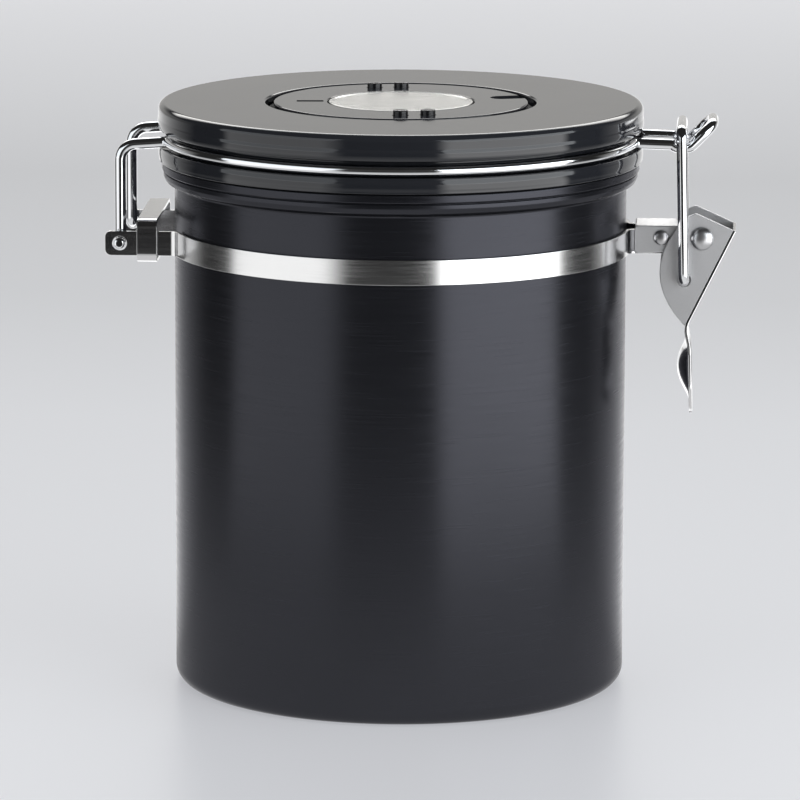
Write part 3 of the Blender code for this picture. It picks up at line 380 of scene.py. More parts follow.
def gloss_plastic():
    """Polished near-black moulding with the faintest waviness and smudges."""
    tree, shader = new_material("gloss_moulding", (0.021, 0.0225, 0.027), 0.0, 0.07)
    smudges = noise(tree, 45)
    speckle = noise(tree, 1800, detail=2)
    mixed_color(tree, shader, smudges, (0.0195, 0.0210, 0.0255), (0.0225, 0.0240, 0.0290))
    vary_roughness(tree, shader, smudges, 0.05, 0.11)
    add_bump(tree, shader, (noise(tree, 60, detail=1), 0.04, 0.0004), (speckle, 0.02, 0.00002))


def speckled(name, dark, light, grain, shine, bump, **sockets):
    """Plastic or rubber of two close colours; shine and bump start with how fine they are."""
    tree, shader = new_material(name, light, 0.0, shine[1], **sockets)
    mixed_color(tree, shader, noise(tree, grain), dark, light)
    vary_roughness(tree, shader, noise(tree, shine[0]), *shine[1:])
    add_bump(tree, shader, (noise(tree, bump[0]), *bump[1:]))


def black_plastic():
    """Plain black moulded plastic with a fine satin grain."""
    speckled("black_moulding", (0.012, 0.012, 0.013), (0.019, 0.019, 0.020),
             grain=2200, shine=(90, 0.28, 0.42), bump=(2200, 0.18, 0.00005))


def peg_plastic():
    """Glossy black of the finger pegs."""
    speckled("peg_moulding", (0.005, 0.005, 0.006), (0.008, 0.008, 0.009),
             grain=300, shine=(300, 0.18, 0.30), bump=(2400, 0.05, 0.00003))


def steel(name, color, roughness, spread=0.03, lines=70, stretch=(1, 1, 30), bump=0.08):
    """Bare steel; lines says how fine its drawn or brushed lines are, stretch which way they run."""
    tree, shader = new_material(name, color, 1.0, roughness)
    marks = noise(tree, lines, stretch, 3)
    darker = tuple(0.9 * part for part in color)
    mixed_color(tree, shader, noise(tree, 70), darker, color)
    vary_roughness(tree, shader, marks, roughness - spread, roughness + spread)
    add_bump(tree, shader, (marks, bump, 0.00002))


def silicone():
    """Milky grey sealing rubber."""
    speckled("seal_rubber", (0.47, 0.47, 0.45), (0.56, 0.56, 0.54),
             grain=400, shine=(400, 0.38, 0.55), bump=(1500, 0.10, 0.00005),
             Subsurface_Weight=0.15, Subsurface_Scale=0.002)


def fibre():
    """Pressed white fibre of the valve's filter."""
    tree, shader = new_material("pressed_fibre", (0.80, 0.79, 0.74), 0.0, 0.9)
    strands = noise(tree, 900, (1, 4, 1), 6)
    mixed_color(tree, shader, strands, (0.66, 0.65, 0.60), (0.84, 0.83, 0.79))
    add_bump(tree, shader, (strands, 0.7, 0.0002))


def matte_black():
    """Dull black of the recessed parts of the dial."""
    speckled("matte_black", (0.004, 0.004, 0.005), (0.009, 0.009, 0.010),
             grain=1500, shine=(1500, 0.6, 0.8), bump=(1500, 0.20, 0.00004),
             Specular_IOR_Level=0.1)


def printed_white():
    """Off-white paint of the day numbers."""
    tree, shader = new_material("number_paint", (0.62, 0.62, 0.60), 0.0, 0.5)
    specks = noise(tree, 3000)
    mixed_color(tree, shader, specks, (0.55, 0.55, 0.53), (0.66, 0.66, 0.64))
    add_bump(tree, shader, (specks, 0.2, 0.00003))


def linked(name, data):
    """New object in the scene."""
    piece = bpy.data.objects.new(name, data)
    bpy.context.collection.objects.link(piece)
    return piece


def mesh_of(name, shape):
    """Mesh made from a bmesh."""
    mesh = bpy.data.meshes.new(name)
    shape.to_mesh(mesh)
    shape.free()
    return mesh


def shade(mesh, angle=35):
    """Shade smooth, apart from the edges that turn by more than an angle."""
    mesh.shade_smooth()
    mesh.set_sharp_from_angle(angle=radians(angle))


def finished(name, shape):
    """Object made from a bmesh, with outward faces and smooth shading."""
    bmesh.ops.recalc_face_normals(shape, faces=shape.faces)
    if shape.calc_volume(signed=True) < 0:
        bmesh.ops.reverse_faces(shape, faces=shape.faces)
    piece = linked(name, mesh_of(name, shape))
    shade(piece.data)
    return piece


def settle(piece):
    """Replace a piece's mesh by what its modifiers make of it."""
    graph = bpy.context.evaluated_depsgraph_get()
    mesh = bpy.data.meshes.new_from_object(piece.evaluated_get(graph))
    piece.modifiers.clear()
    piece.data = mesh


def flatten_faces(piece):
    """Shade the large faces as flat as they are, right up to their rounded edges."""
    modifier = piece.modifiers.new("flat_faces", "WEIGHTED_NORMAL")
    modifier.weight = 100
    modifier.keep_sharp = True
    settle(piece)


def coat(piece, material):
    """Give a piece one material, by its name."""
    piece.data.materials.clear()
    piece.data.materials.append(MATERIALS[material])


def dress(piece, node, material):
    """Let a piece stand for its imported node, on that node's body."""
    if piece.type == "MESH":
        flatten_faces(piece)
    coat(piece, material)
    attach(piece, BODY_OF[node])
    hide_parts(node)


def arc_point(start, end, share):
    """Point on the arc between two radius vectors of one length."""
    angle = start.angle(end)
    if angle < 1e-6:
        return start.copy()
    return (start * sin((1 - share) * angle) + end * sin(share * angle)) / sin(angle)


def corner_arc(before, here, after, radius, steps):
    """Points that round one corner of a line."""
    back = before - here
    ahead = after - here
    room = 0.49 * min(back.length, ahead.length)
    back.normalize()
    ahead.normalize()
    half = back.angle(ahead) / 2
    if half > radians(89.0):
        return [here]
    radius = min(radius, room * tan(half))
    reach = radius / tan(half)
    centre = here + (back + ahead).normalized() * (radius / sin(half))
    start = here + back * reach - centre
    end = here + ahead * reach - centre
    return [centre + arc_point(start, end, step / steps) for step in range(steps + 1)]


def rounded(corners, radii, steps=12):
    """Line through corners, each rounded to its radius; an open line's ends have radius 0."""
    spots = [Vector(corner) for corner in corners]
    points = []
    for index, radius in enumerate(radii):
        if radius:
            after = spots[(index + 1) % len(spots)]
            points += corner_arc(spots[index - 1], spots[index], after, radius, steps)
        else:
            points.append(spots[index])
    return points


def softened(corners, steps=6):
    """Closed outline through (u, v) or (u, v, radius) corners, rounded where a radius is given."""
    radii = [corner[2] if len(corner) == 3 else 0 for corner in corners]
    return rounded([corner[:2] for corner in corners], radii, steps)


def arc(centre, radius, start, end, steps):
    """Points on a circle, from one angle in degrees to another."""
    points = []
    for step in range(steps + 1):
        angle = radians(start + (end - start) * step / steps)
        points.append(Vector((centre[0] + radius * cos(angle), centre[1] + radius * sin(angle))))
    return points


def add_lathe(shape, outline, sides, spin):
    """Turn a closed outline of (radius, distance) points; spin maps them to space."""
    rings = []
    for radius, distance in outline:
        count = 1 if radius < 1e-7 else sides
        angles = [2 * pi * side / sides for side in range(count)]
        rings.append([shape.verts.new(spin(radius, distance, angle)) for angle in angles])
    for lower, upper in zip(rings, rings[1:] + rings[:1]):
        if len(lower) == 1 and len(upper) == 1:
            continue
        for side in range(sides):
            after = (side + 1) % sides
            corners = [lower[side % len(lower)], lower[after % len(lower)],
                       upper[after % len(upper)], upper[side % len(upper)]]
            shape.faces.new(list(dict.fromkeys(corners)))


def about_z(x=0.0, y=0.0):
    """Spin about an upright axis through (x, y)."""
    return lambda radius, z, angle: (x + radius * cos(angle), y + radius * sin(angle), z)


def about_y(middle):
    """Spin about an axis along Y through a point."""
    return lambda radius, y, angle: (
        middle.x + radius * cos(angle), y, middle.z + radius * sin(angle))


def turned(name, outline, spin=None, sides=ROUND):
    """Object turned from a closed outline."""
    shape = bmesh.new()
    add_lathe(shape, outline, sides, spin or about_z())
    return finished(name, shape)


def make_turned(node, outline, material, spin=None, sides=ROUND):
    """Turned piece that stands for a node."""
    dress(turned(node + "_detail", outline, spin, sides), node, material)


def add_plug(shape, radius, low, high, spin, sides=SMALL_ROUND):
    """Cutter for a round hole."""
    add_lathe(shape, [(0, low), (radius, low), (radius, high), (0, high)], sides, spin)


def bridge(shape, one, two, closed=True):
    """Faces between two rows of corners, which are loops if closed."""
    for index in range(len(one) if closed else len(one) - 1):
        after = (index + 1) % len(one)
        shape.faces.new([one[index], one[after], two[after], two[index]])


def add_prism(shape, outline, low, high, place):
    """Extrude a closed outline between two depths."""
    first = [shape.verts.new(place(u, v, low)) for u, v in outline]
    last = [shape.verts.new(place(u, v, high)) for u, v in outline]
    shape.faces.new(first)
    shape.faces.new(last)
    bridge(shape, first, last)


def upright(x, z, y):
    """Outline in the XZ plane, depth along Y."""
    return (x, y, z)


def flat(x, y, z):
    """Outline in the XY plane, depth along Z."""
    return (x, y, z)


def prism(name, outline, low, high, place):
    """Object extruded from a closed outline."""
    shape = bmesh.new()
    add_prism(shape, outline, low, high, place)
    return finished(name, shape)


def carve(piece, shape):
    """Cut a bmesh out of a piece."""
    cutter = finished(piece.name + "_cutter", shape)
    modifier = piece.modifiers.new("cut", "BOOLEAN")
    modifier.operation = "DIFFERENCE"
    modifier.solver = "EXACT"
    modifier.object = cutter
    settle(piece)
    bpy.data.objects.remove(cutter)


def soften_edges(piece, width=FINE_EDGE, angle=40):
    """Bevel the sharp edges so that they catch the light."""
    modifier = piece.modifiers.new("edges", "BEVEL")
    modifier.width = width
    modifier.segments = 2
    modifier.limit_method = "ANGLE"
    modifier.angle_limit = radians(angle)
    settle(piece)
    shade(piece.data, angle)


def wire_end(tip, inner, diameter):
    """Points of a wire's rounded end, from its tip inwards, each with its share of the radius."""
    inward = (inner - tip).normalized() * diameter * WIRE_CUT
    return [(tip + inward * share, size) for share, size in WIRE_END]


def wire(name, points, diameter):
    """Round wire along a line, its two ends slightly rounded off."""
    line = wire_end(points[0], points[1], diameter)
    line += [(point, 1) for point in points[1:-1]]
    line += wire_end(points[-1], points[-2], diameter)[::-1]
    curve = bpy.data.curves.new(name, "CURVE")
    curve.dimensions = "3D"
    curve.bevel_depth = diameter / 2
    curve.bevel_resolution = 8
    curve.use_fill_caps = True
    spline = curve.splines.new("POLY")
    spline.points.add(len(line) - 1)
    for target, (point, size) in zip(spline.points, line):
        target.co = (*point, 1)
        target.radius = size
    return linked(name, curve)


def dome(radius, height, face, direction, steps=10):
    """Half outline of a domed head that stands on a face, from its edge to its crown."""
    points = []
    for step in range(steps + 1):
        angle = pi / 2 * step / steps
        out = radius * cos(angle) if step < steps else 0
        points.append((out, face + direction * height * sin(angle)))
    return points


def add_hole(shape, spot, radius, low, high):
    """Cutter for a round hole along Y."""
    add_plug(shape, radius, low, high, about_y(spot))


def make_body():
    """Drawn cup with a rolled base edge, a bead, a collar and a neck."""
    flat_base = BODY_RADIUS - BASE_FILLET - 0.003
    inner = BODY_RADIUS - BODY_WALL
    neck = BODY_RADIUS + NECK_BULGE
    neck_inner = neck - NECK_WALL
    neck_foot = COLLAR_TOP - NECK_WALL
    bead = BODY_RADIUS + BEAD_BULGE
    bead_inner = bead - NECK_WALL
    collar = BODY_RADIUS + COLLAR_BULGE
    crease = 0.0005
    seam = 0.0001
    corners = [
        (0, 0), (flat_base, 0), (BODY_RADIUS, 0, BASE_FILLET), (BODY_RADIUS, WALL_HEIGHT, 0.0008),
        (bead - 0.0006, WALL_HEIGHT + 0.0008, 0.0010), (bead, WALL_HEIGHT + 0.0022, 0.0012),
        (bead, BEAD_TOP, 0.0004),
        (bead - crease, BEAD_TOP + seam, 0.0002), (collar, BEAD_TOP + crease, 0.0004),
        (collar, COLLAR_TOP, 0.0005), (neck, COLLAR_TOP + seam, 0.0002), (neck, RIM_Z, 0.0004),
        (neck_inner, RIM_Z, 0.0004), (neck_inner, neck_foot, 0.0006),
        (bead_inner, neck_foot - crease, 0.0006), (bead_inner, WALL_HEIGHT + BEAD_HEIGHT * 0.66, 0.0010),
        (inner, WALL_HEIGHT + BEAD_HEIGHT * 0.15, 0.0008), (inner, BODY_WALL, BASE_FILLET - BODY_WALL),
        (0, BODY_WALL),
    ]
    make_turned("body_shell", softened(corners, 10), "charcoal_coating")


def heading(x, y):
    """Direction of a point from the middle, in degrees."""
    return degrees(atan2(y, x))


def band_line():
    """Middle line of the front half band in plan, from its ear to its latch arm."""
    bend_steps = 14
    band_steps = 150
    ends = []
    for spread, side in ((EAR_SPREAD, -1), (ARM_SPREAD, 1)):
        drop = spread + BEND_RADIUS
        along = sqrt((BAND_RADIUS + BEND_RADIUS) ** 2 - drop ** 2)
        ends.append((side * along, -drop))
    left, right = ends
    points = [Vector((BAND_LOW.x, -EAR_SPREAD))]
    points += arc(left, BEND_RADIUS, 90, heading(-left[0], -left[1]), bend_steps)
    points += arc((0, 0), BAND_RADIUS, heading(*left) % 360, heading(*right) % 360, band_steps)[1:]
    points += arc(right, BEND_RADIUS, heading(-right[0], -right[1]), 90, bend_steps)[1:]
    points.append(Vector((BAND_HIGH.x, -ARM_SPREAD)))
    return points


def make_half_band(node, side):
    """Half of the clamp band; side is -1 in front. Its ear and latch arm shine more."""
    points = band_line()
    left, right = [], []
    for index, point in enumerate(points):
        along = (points[min(index + 1, len(points) - 1)] - points[max(index - 1, 0)]).normalized()
        offset = Vector((-along.y, along.x)) * BAND_THICKNESS / 2
        left.append(point + offset)
        right.append(point - offset)
    outline = [(p.x, -side * p.y) for p in left + right[::-1]]
    band = prism(node + "_detail", outline, BAND_LOW.z, BAND_HIGH.z, flat)
    cutters = bmesh.new()
    depth = BAND_THICKNESS
    ear = side * EAR_SPREAD
    arm = side * ARM_SPREAD
    add_hole(cutters, HINGE, WIRE_HOLE, ear - depth, ear + depth)
    add_hole(cutters, RIVET, RIVET_SHANK + GAP, arm - depth, arm + depth)
    for level, way in ((BAND_LOW.z, 1), (BAND_HIGH.z, -1)):
        x = BAND_LOW.x
        beyond = level - way * GAP
        corner = [(x - GAP, beyond), (x + EAR_CORNER, beyond), (x + EAR_CORNER, level)]
        quarter = arc((x + EAR_CORNER, EAR_CORNER), EAR_CORNER, 270, 180, 8)
        corner += [(p.x, level + way * p.y) for p in quarter]
        corner += [(x - GAP, level + way * EAR_CORNER)]
        add_prism(cutters, corner, ear - depth, ear + depth, upright)
    carve(band, cutters)
    soften_edges(band)
    dress(band, node, "band_steel")
    band.data.materials.append(MATERIALS["polished_steel"])
    for face in band.data.polygons:
        if abs(face.center.x) > BAND_RADIUS:
            face.material_index = 1


def make_clasp():
    """Closed strap that holds the two hinge ears side by side."""
    def loop(shrink, corner):
        """One of the strap's two outlines seen from the side."""
        left, right = CLASP_LOW.y + shrink, CLASP_HIGH.y - shrink
        low, high = CLASP_LOW.z + shrink, CLASP_HIGH.z - shrink
        spots = ((left, low), (right, low), (right, high), (left, high))
        return softened([(*spot, corner) for spot in spots], 10)

    shape = bmesh.new()
    inside = loop(CLASP_THICKNESS, CLASP_CORNER)
    outside = loop(0, CLASP_CORNER + CLASP_THICKNESS)
    rings = [[shape.verts.new((x, y, z)) for y, z in outline]
             for outline, x in ((inside, CLASP_LOW.x), (inside, CLASP_HIGH.x),
                                (outside, CLASP_HIGH.x), (outside, CLASP_LOW.x))]
    for one, two in zip(rings, rings[1:] + rings[:1]):
        bridge(shape, one, two)
    clasp = finished("hinge_clasp_detail", shape)
    soften_edges(clasp)
    dress(clasp, "hinge_clasp", "polished_steel")


def make_bracket():
    """Inverted channel with a round nose about the lever's pivot."""
    top = BRACKET_HIGH.z
    low = BAND_LOW.z
    back = BRACKET_LOW.x
    corners = [(back, top, 0.0005), (back, low, 0.0008), (PIVOT.x, PIVOT.z - BRACKET_NOSE, 0.0030)]
    corners += [(p.x, p.y) for p in arc((PIVOT.x, PIVOT.z), BRACKET_NOSE, -78, 78, 20)]
    corners += [(PIVOT.x, PIVOT.z + BRACKET_NOSE, 0.0020), (PIVOT.x - BRACKET_NOSE, top, 0.0020)]
    bracket = prism("latch_bracket_detail", softened(corners), -CHEEK_OUTER, CHEEK_OUTER, upright)
    soften_edges(bracket, BEND_EDGE)
    inner = CHEEK_OUTER - BRACKET_SHEET
    under = top - BRACKET_SHEET
    beyond = PIVOT.x + 2 * BRACKET_NOSE
    hollow = [(back - GAP, low - GAP), (beyond, low - GAP), (beyond, under), (back - GAP, under)]
    cutters = bmesh.new()
    add_prism(cutters, hollow, -inner, inner, upright)
    carve(bracket, cutters)
    holes = bmesh.new()
    wide = CHEEK_OUTER + GAP
    add_hole(holes, RIVET, RIVET_SHANK + GAP, -wide, wide)
    add_hole(holes, PIVOT, PIVOT_SHANK + GAP, -wide, wide)
    carve(bracket, holes)
    soften_edges(bracket, HOLE_EDGE)
    dress(bracket, "latch_bracket", "satin_steel")


def make_rivet(node, side):
    """Domed rivet that holds a bracket cheek to the band's arm."""
    face = side * (CHEEK_OUTER + GAP)
    foot = side * (ARM_SPREAD - BAND_THICKNESS / 2 - GAP)
    tail = foot - side * RIVET_DOME
    tail_edge = foot - side * RIVET_DOME * 0.8
    outline = [(0, tail), (RIVET_HEAD * 0.9, tail), (RIVET_HEAD, tail_edge), (RIVET_HEAD, foot),
               (RIVET_SHANK, foot), (RIVET_SHANK, face)]
    outline += dome(RIVET_HEAD, RIVET_DOME, face, side)
    make_turned(node, outline, "pin_steel", about_y(RIVET), SMALL_ROUND)


def make_pivot_pin():
    """Domed pin that the lever turns on."""
    face = LEVER_OUTER + GAP
    outline = dome(PIVOT_HEAD, PIVOT_DOME, -face, -1)[::-1]
    outline += [(PIVOT_SHANK, -face), (PIVOT_SHANK, face)]
    outline += dome(PIVOT_HEAD, PIVOT_DOME, face, 1)
    make_turned("lever_pivot_pin", outline, "pin_steel", about_y(PIVOT), SMALL_ROUND)


def from_pivot(point):
    """Place of a point that is measured from the lever's pivot."""
    return (PIVOT.x + point[0], PIVOT.z + point[1])


def cheek_outline():
    """Leaf-shaped side of the lever."""
    tail = Vector(from_pivot(LEVER_TAIL))
    back = Vector(from_pivot(LEVER_HEAD_BACK))
    chord = tail - back
    outward = Vector((chord.y, -chord.x)).normalized()
    corners = [(*tail,), (*from_pivot(LEVER_SHOULDER), 0.0012), (*from_pivot(LEVER_HEAD_TOP), 0.0012),
               (*back, 0.0006)]
    steps = 28
    for step in range(1, steps):
        share = step / steps
        spot = back + chord * share + outward * (LEVER_BELLY * 4 * share * (1 - share))
        corners.append((*spot,))
    return softened(corners, 8)


def strap_line():
    """Middle line of the lever's back and tab, from its shoulder to the tab's tip."""
    corners = [(*from_pivot(p), 0) for p in (LEVER_SHOULDER, LEVER_TAIL, TAB_KNEE, TAB_TIP)]
    bends = rounded(corners, [0, TAIL_BEND, KNEE_BEND, 0], 10)
    points = [bends[0]]
    for start, end in zip(bends, bends[1:]):
        parts = max(1, round((end - start).length / STRAP_STEP))
        points += [start.lerp(end, part / parts) for part in range(1, parts + 1)]
    return points


def strap_row(line, index, depth):
    """One cross row of the strap, pressed into a dish on the finger tab."""
    point = line[index]
    along = (line[min(index + 1, len(line) - 1)] - line[max(index - 1, 0)]).normalized()
    inward = Vector((along.y, -along.x, 0)).normalized()
    if inward.x > 0:
        inward = -inward
    tail_z = from_pivot(LEVER_TAIL)[1]
    tip_z = from_pivot(TAB_TIP)[1]
    near_tip = min(1, max(0, (point.y - tip_z) / (LEVER_OUTER * TIP_ROUND)))
    half_width = LEVER_OUTER * max(TIP_FLAT, sqrt(1 - (1 - near_tip) ** 2))
    reach = abs(tail_z - point.y - TAB_DISH_CENTRE) / TAB_DISH_HALF
    lengthwise = max(0, 1 - reach ** 2) ** TAB_DISH_POWER
    row = []
    for column in range(STRAP_COLUMNS + 1):
        share = 2 * column / STRAP_COLUMNS - 1
        dish = TAB_DISH * lengthwise * (1 - share ** 2)
        spot = point + inward * (depth + dish)
        row.append((spot.x, share * half_width, spot.y))
    return row


def make_lever():
    """Back of the pressed lever, with the dished finger tab."""
    line = strap_line()
    shape = bmesh.new()
    sheets = []
    for depth in (0, LEVER_SHEET):
        rows = [strap_row(line, index, depth) for index in range(len(line))]
        sheets.append([[shape.verts.new(spot) for spot in row] for row in rows])
    outer, inner = sheets
    for rows in sheets:
        for one, two in zip(rows, rows[1:]):
            bridge(shape, one, two, closed=False)
    for end in (0, -1):
        bridge(shape, outer[end], inner[end], closed=False)
        bridge(shape, [row[end] for row in outer], [row[end] for row in inner], closed=False)
    lever = finished("latch_lever_detail", shape)
    soften_edges(lever, angle=60)
    dress(lever, "latch_lever", "polished_steel")


def make_cheek(name, side):
    """One of the lever's two cheeks, with the holes for its pin and for the bail."""
    low, high = sorted((side * LEVER_INNER, side * LEVER_OUTER))
    cheek = prism(name, cheek_outline(), low, high, upright)
    holes = bmesh.new()
    add_hole(holes, PIVOT, PIVOT_SHANK + GAP, low - GAP, high + GAP)
    add_hole(holes, BAIL_PIVOT, BAIL_WIRE / 2 + HOLE_ROOM, low - GAP, high + GAP)
    carve(cheek, holes)
    soften_edges(cheek, CHEEK_EDGE)
    flatten_faces(cheek)
    coat(cheek, "satin_steel")
    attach(cheek, BODY_OF["latch_lever"])


def make_bail():
    """Wire loop from the lever's holes up and over the lid's hook."""
    x, z = BAIL_PIVOT.x, BAIL_PIVOT.z
    front = [(x, -BAIL_END, z), (x, -BAIL_SPREAD, z), (x - BAIL_TOP_LEAN, -BAIL_SPREAD, BAIL_TOP_Z)]
    rear = [(x, -y, z) for x, y, z in front[::-1]]
    radii = [0, FOOT_BEND, BAIL_CORNER]
    bail = wire("latch_bail_detail", rounded(front + rear, radii + radii[::-1]), BAIL_WIRE)
    dress(bail, "latch_bail", "chrome_wire")


def lid_wire_side(side):
    """Half of the lid wire, from its hinge pin round the groove to its hook's tip."""
    pin_y = side * (EAR_SPREAD + BAND_THICKNESS / 2 + PIN_PROUD)
    leg_y = side * LEG_SPREAD
    hook_y = side * HOOK_SPREAD
    ring, ring_z = WIRE_RING_RADIUS, WIRE_RING_Z
    leg_angle = heading(-sqrt(ring ** 2 - leg_y ** 2), leg_y)
    hook_angle = heading(sqrt(ring ** 2 - hook_y ** 2), hook_y)
    corners = [(HINGE.x, pin_y, HINGE.z), (HINGE.x, leg_y, HINGE.z),
               (HINGE.x, leg_y, ring_z - LEG_TOP_DROP)]
    radii = [0, FOOT_BEND, LEG_BEND]
    circle = arc((0, 0), ring, leg_angle, hook_angle, 80)
    circle = circle[:1] + circle[3:-3] + circle[-1:]    # room for the two bends
    corners += [(x, y, ring_z) for x, y in circle]
    radii += [ENTRY_BEND] + [0] * (len(circle) - 2) + [ENTRY_BEND]
    nook = FLANGE_RADIUS + NOOK_FROM_LID
    nook_z = ring_z - NOOK_DROP
    corners += [(nook - NOOK_DROP, hook_y, ring_z - GAP), (nook, hook_y, nook_z),
                (nook + NOOK_LENGTH, hook_y, nook_z)]
    radii += [NOOK_BEND, NOOK_BEND, HOOK_FOOT_BEND]
    tip_x = nook + NOOK_LENGTH + HOOK_RUN
    corners += [(tip_x, hook_y, nook_z + HOOK_RISE), (tip_x, 0, nook_z + HOOK_RISE)]
    radii += [HOOK_CORNER, 0]
    return rounded(corners, radii)


def make_lid_wire():
    """One wire: hinge legs, the ring round the lid, and the hook for the latch."""
    front = lid_wire_side(-1)
    rear = lid_wire_side(1)
    lid_wire = wire("lid_wire_detail", front + rear[::-1][1:], LID_WIRE)
    dress(lid_wire, "lid_wire", "chrome_wire")


def crowned(radius, low, high, belly, steps=8):
    """Side of a flange that swells by belly at its middle height."""
    points = []
    for step in range(steps + 1):
        share = step / steps
        points.append((radius - belly * (2 * share - 1) ** 2, low + (high - low) * share))
    return points


def make_lid_cap():
    """Moulded lid: skirt, wire groove, rounded shoulder, top, and the well for the dial."""
    edge = 0.0005
    belly = 0.00016
    shoulder = LID_TOP - SHOULDER_RADIUS
    corners = [(SKIRT_INNER, SKIRT_Z, 0.0003), (FLANGE_RADIUS - belly, SKIRT_Z, 0.0004)]
    corners += crowned(FLANGE_RADIUS, SKIRT_Z + edge, GROOVE_Z - edge, belly)
    corners += [(FLANGE_RADIUS - belly, GROOVE_Z, 0.0004), (GROOVE_FLOOR, GROOVE_Z, 0.0007),
                (GROOVE_FLOOR, GROOVE_TOP, 0.0007), (FLANGE_RADIUS - belly, GROOVE_TOP, 0.0004)]
    corners += crowned(LID_RADIUS, GROOVE_TOP + edge, shoulder, belly)
    corners += [(LID_RADIUS - belly, LID_TOP, SHOULDER_RADIUS), (WELL_RADIUS, LID_TOP, DIAL_EDGE),
                (WELL_RADIUS, WELL_FLOOR, 0.0003), (STUB_HOLE, WELL_FLOOR), (STUB_HOLE, DECK_UNDER),
                (LID_RIM_INNER, DECK_UNDER, 0.0008), (LID_RIM_INNER, GASKET_HIGH.z + GAP, 0.0002),
                (SKIRT_INNER, GASKET_HIGH.z + GAP, 0.0002)]
    make_turned("lid_cap", softened(corners, 12), "gloss_moulding")


def make_gasket():
    """Sealing ring with a shallow seat for the mouth's rim and two soft lips."""
    low, high = GASKET_LOW.z, GASKET_HIGH.z
    inner, outer = LID_RIM_INNER, GASKET_HIGH.x
    middle = (inner + outer) / 2
    seat_half = 0.0012
    slope = 0.0003
    seat = low + 0.0002
    corners = [(inner, low, 0.0004), (middle - seat_half, low, 0.0002),
               (middle - seat_half + slope, seat, 0.0002), (middle + seat_half - slope, seat, 0.0002),
               (middle + seat_half, low, 0.0002), (outer, low, 0.0004), (outer, high, 0.0004),
               (inner, high, 0.0004)]
    make_turned("lid_gasket", softened(corners, 5), "seal_rubber")


def make_liner():
    """Pressed pan that closes the underside of the lid, with a stiffening step round it."""
    low, high = LINER_LOW.z, LINER_HIGH.z
    outer = LINER_HIGH.x
    hole = VALVE_RADIUS + GAP
    step = outer - 0.0090
    step_slope = 0.002
    step_z = low + 0.00035
    corners = [(hole, low, 0.0002), (step - step_slope, low, 0.0010), (step, step_z, 0.0010),
               (outer, step_z, 0.0007), (outer, high, 0.0003), (outer - LINER_SHEET, high, 0.0003),
               (outer - LINER_SHEET, low + LINER_SHEET, 0.0003), (hole, low + LINER_SHEET, 0.0002)]
    make_turned("lid_liner", softened(corners, 6), "satin_steel")


def make_filter_cap():
    """Perforated cap under the valve."""
    low, high = CAP_LOW.z, CAP_HIGH.z
    outer = CAP_HIGH.x
    bore = outer - CAP_WALL
    corners = [(0, low), (outer, low, 0.0008), (outer, high, 0.0002), (bore, high, 0.0002),
               (bore, low + CAP_PLATE, 0.0003), (0, low + CAP_PLATE)]
    cap = turned("valve_filter_cap_detail", softened(corners, 6), sides=MEDIUM_ROUND)
    vents = bmesh.new()
    for orbit, count in VENT_ORBITS:
        for index in range(count):
            angle = 2 * pi * index / count
            spin = about_z(orbit * cos(angle), orbit * sin(angle))
            add_plug(vents, VENT_RADIUS, low - GAP, low + CAP_PLATE + GAP, spin, VENT_ROUND)
    carve(cap, vents)
    soften_edges(cap, VENT_EDGE)
    dress(cap, "valve_filter_cap", "black_moulding")


def turn_about_axis(points, angle):
    """Outline in plan, turned about the middle axis."""
    cosine, sine = cos(angle), sin(angle)
    return [(x * cosine - y * sine, x * sine + y * cosine) for x, y in points]


def peg_middle(node):
    """Middle of a packed peg."""
    low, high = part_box(node)
    return (low + high) / 2


def mark_outline():
    """Rounded oblong of the dial's mark."""
    half = MARK_WIDTH / 2
    end = MARK_START + MARK_LENGTH
    spots = ((MARK_START, -half), (end, -half), (end, half), (MARK_START, half))
    return turn_about_axis(softened([(*spot, MARK_CORNER) for spot in spots]), MARK_AZIMUTH)


def make_dial():
    """Dial with a window that is open to its edge, a groove for the mark and four peg holes."""
    corners = [(DIAL_HOLE, DIAL_Z), (DIAL_RADIUS, DIAL_Z), (DIAL_RADIUS, LID_TOP, DIAL_EDGE),
               (DIAL_HOLE, LID_TOP, DIAL_EDGE)]
    dial = turned("date_dial_detail", softened(corners, 4))
    below, above = DIAL_Z - GAP, LID_TOP + GAP
    cutters = bmesh.new()
    for node in PEGS:
        middle = peg_middle(node)
        add_plug(cutters, PEG_HOLE, below, above, about_z(middle.x, middle.y))
    half = WINDOW_WIDTH / 2
    window = [(DIAL_RADIUS + half, -half), (DIAL_RADIUS + half, half)]
    window += arc((WINDOW_INNER + half, 0), half, 90, 270, 24)
    add_prism(cutters, turn_about_axis(window, WINDOW_AZIMUTH), below, above, flat)
    add_prism(cutters, mark_outline(), LID_TOP - MARK_DEPTH, above, flat)
    carve(dial, cutters)
    shade(dial.data, 30)
    dress(dial, "date_dial", "gloss_moulding")


def make_mark_paint():
    """Paint in the groove of the dial's mark."""
    paint = prism("dial_mark_paint", mark_outline(), LID_TOP - MARK_DEPTH, LID_TOP - MARK_RELIEF, flat)
    coat(paint, "matte_black")
    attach(paint, BODY_OF["date_dial"])


def make_peg(node):
    """Finger peg with a softly rounded rim and a slightly crowned top."""
    middle = peg_middle(node)
    foot_top = DIAL_Z - GAP
    top = LID_TOP + PEG_HEIGHT
    crown = 0.0001
    corners = [(0, foot_top - GAP), (PEG_FOOT, foot_top - GAP), (PEG_FOOT, foot_top), (PEG_RADIUS, foot_top),
               (PEG_RADIUS, top - crown, 0.0004), (0, top)]
    spin = about_z(middle.x, middle.y)
    make_turned(node, softened(corners, 8), "peg_moulding", spin, SMALL_ROUND)


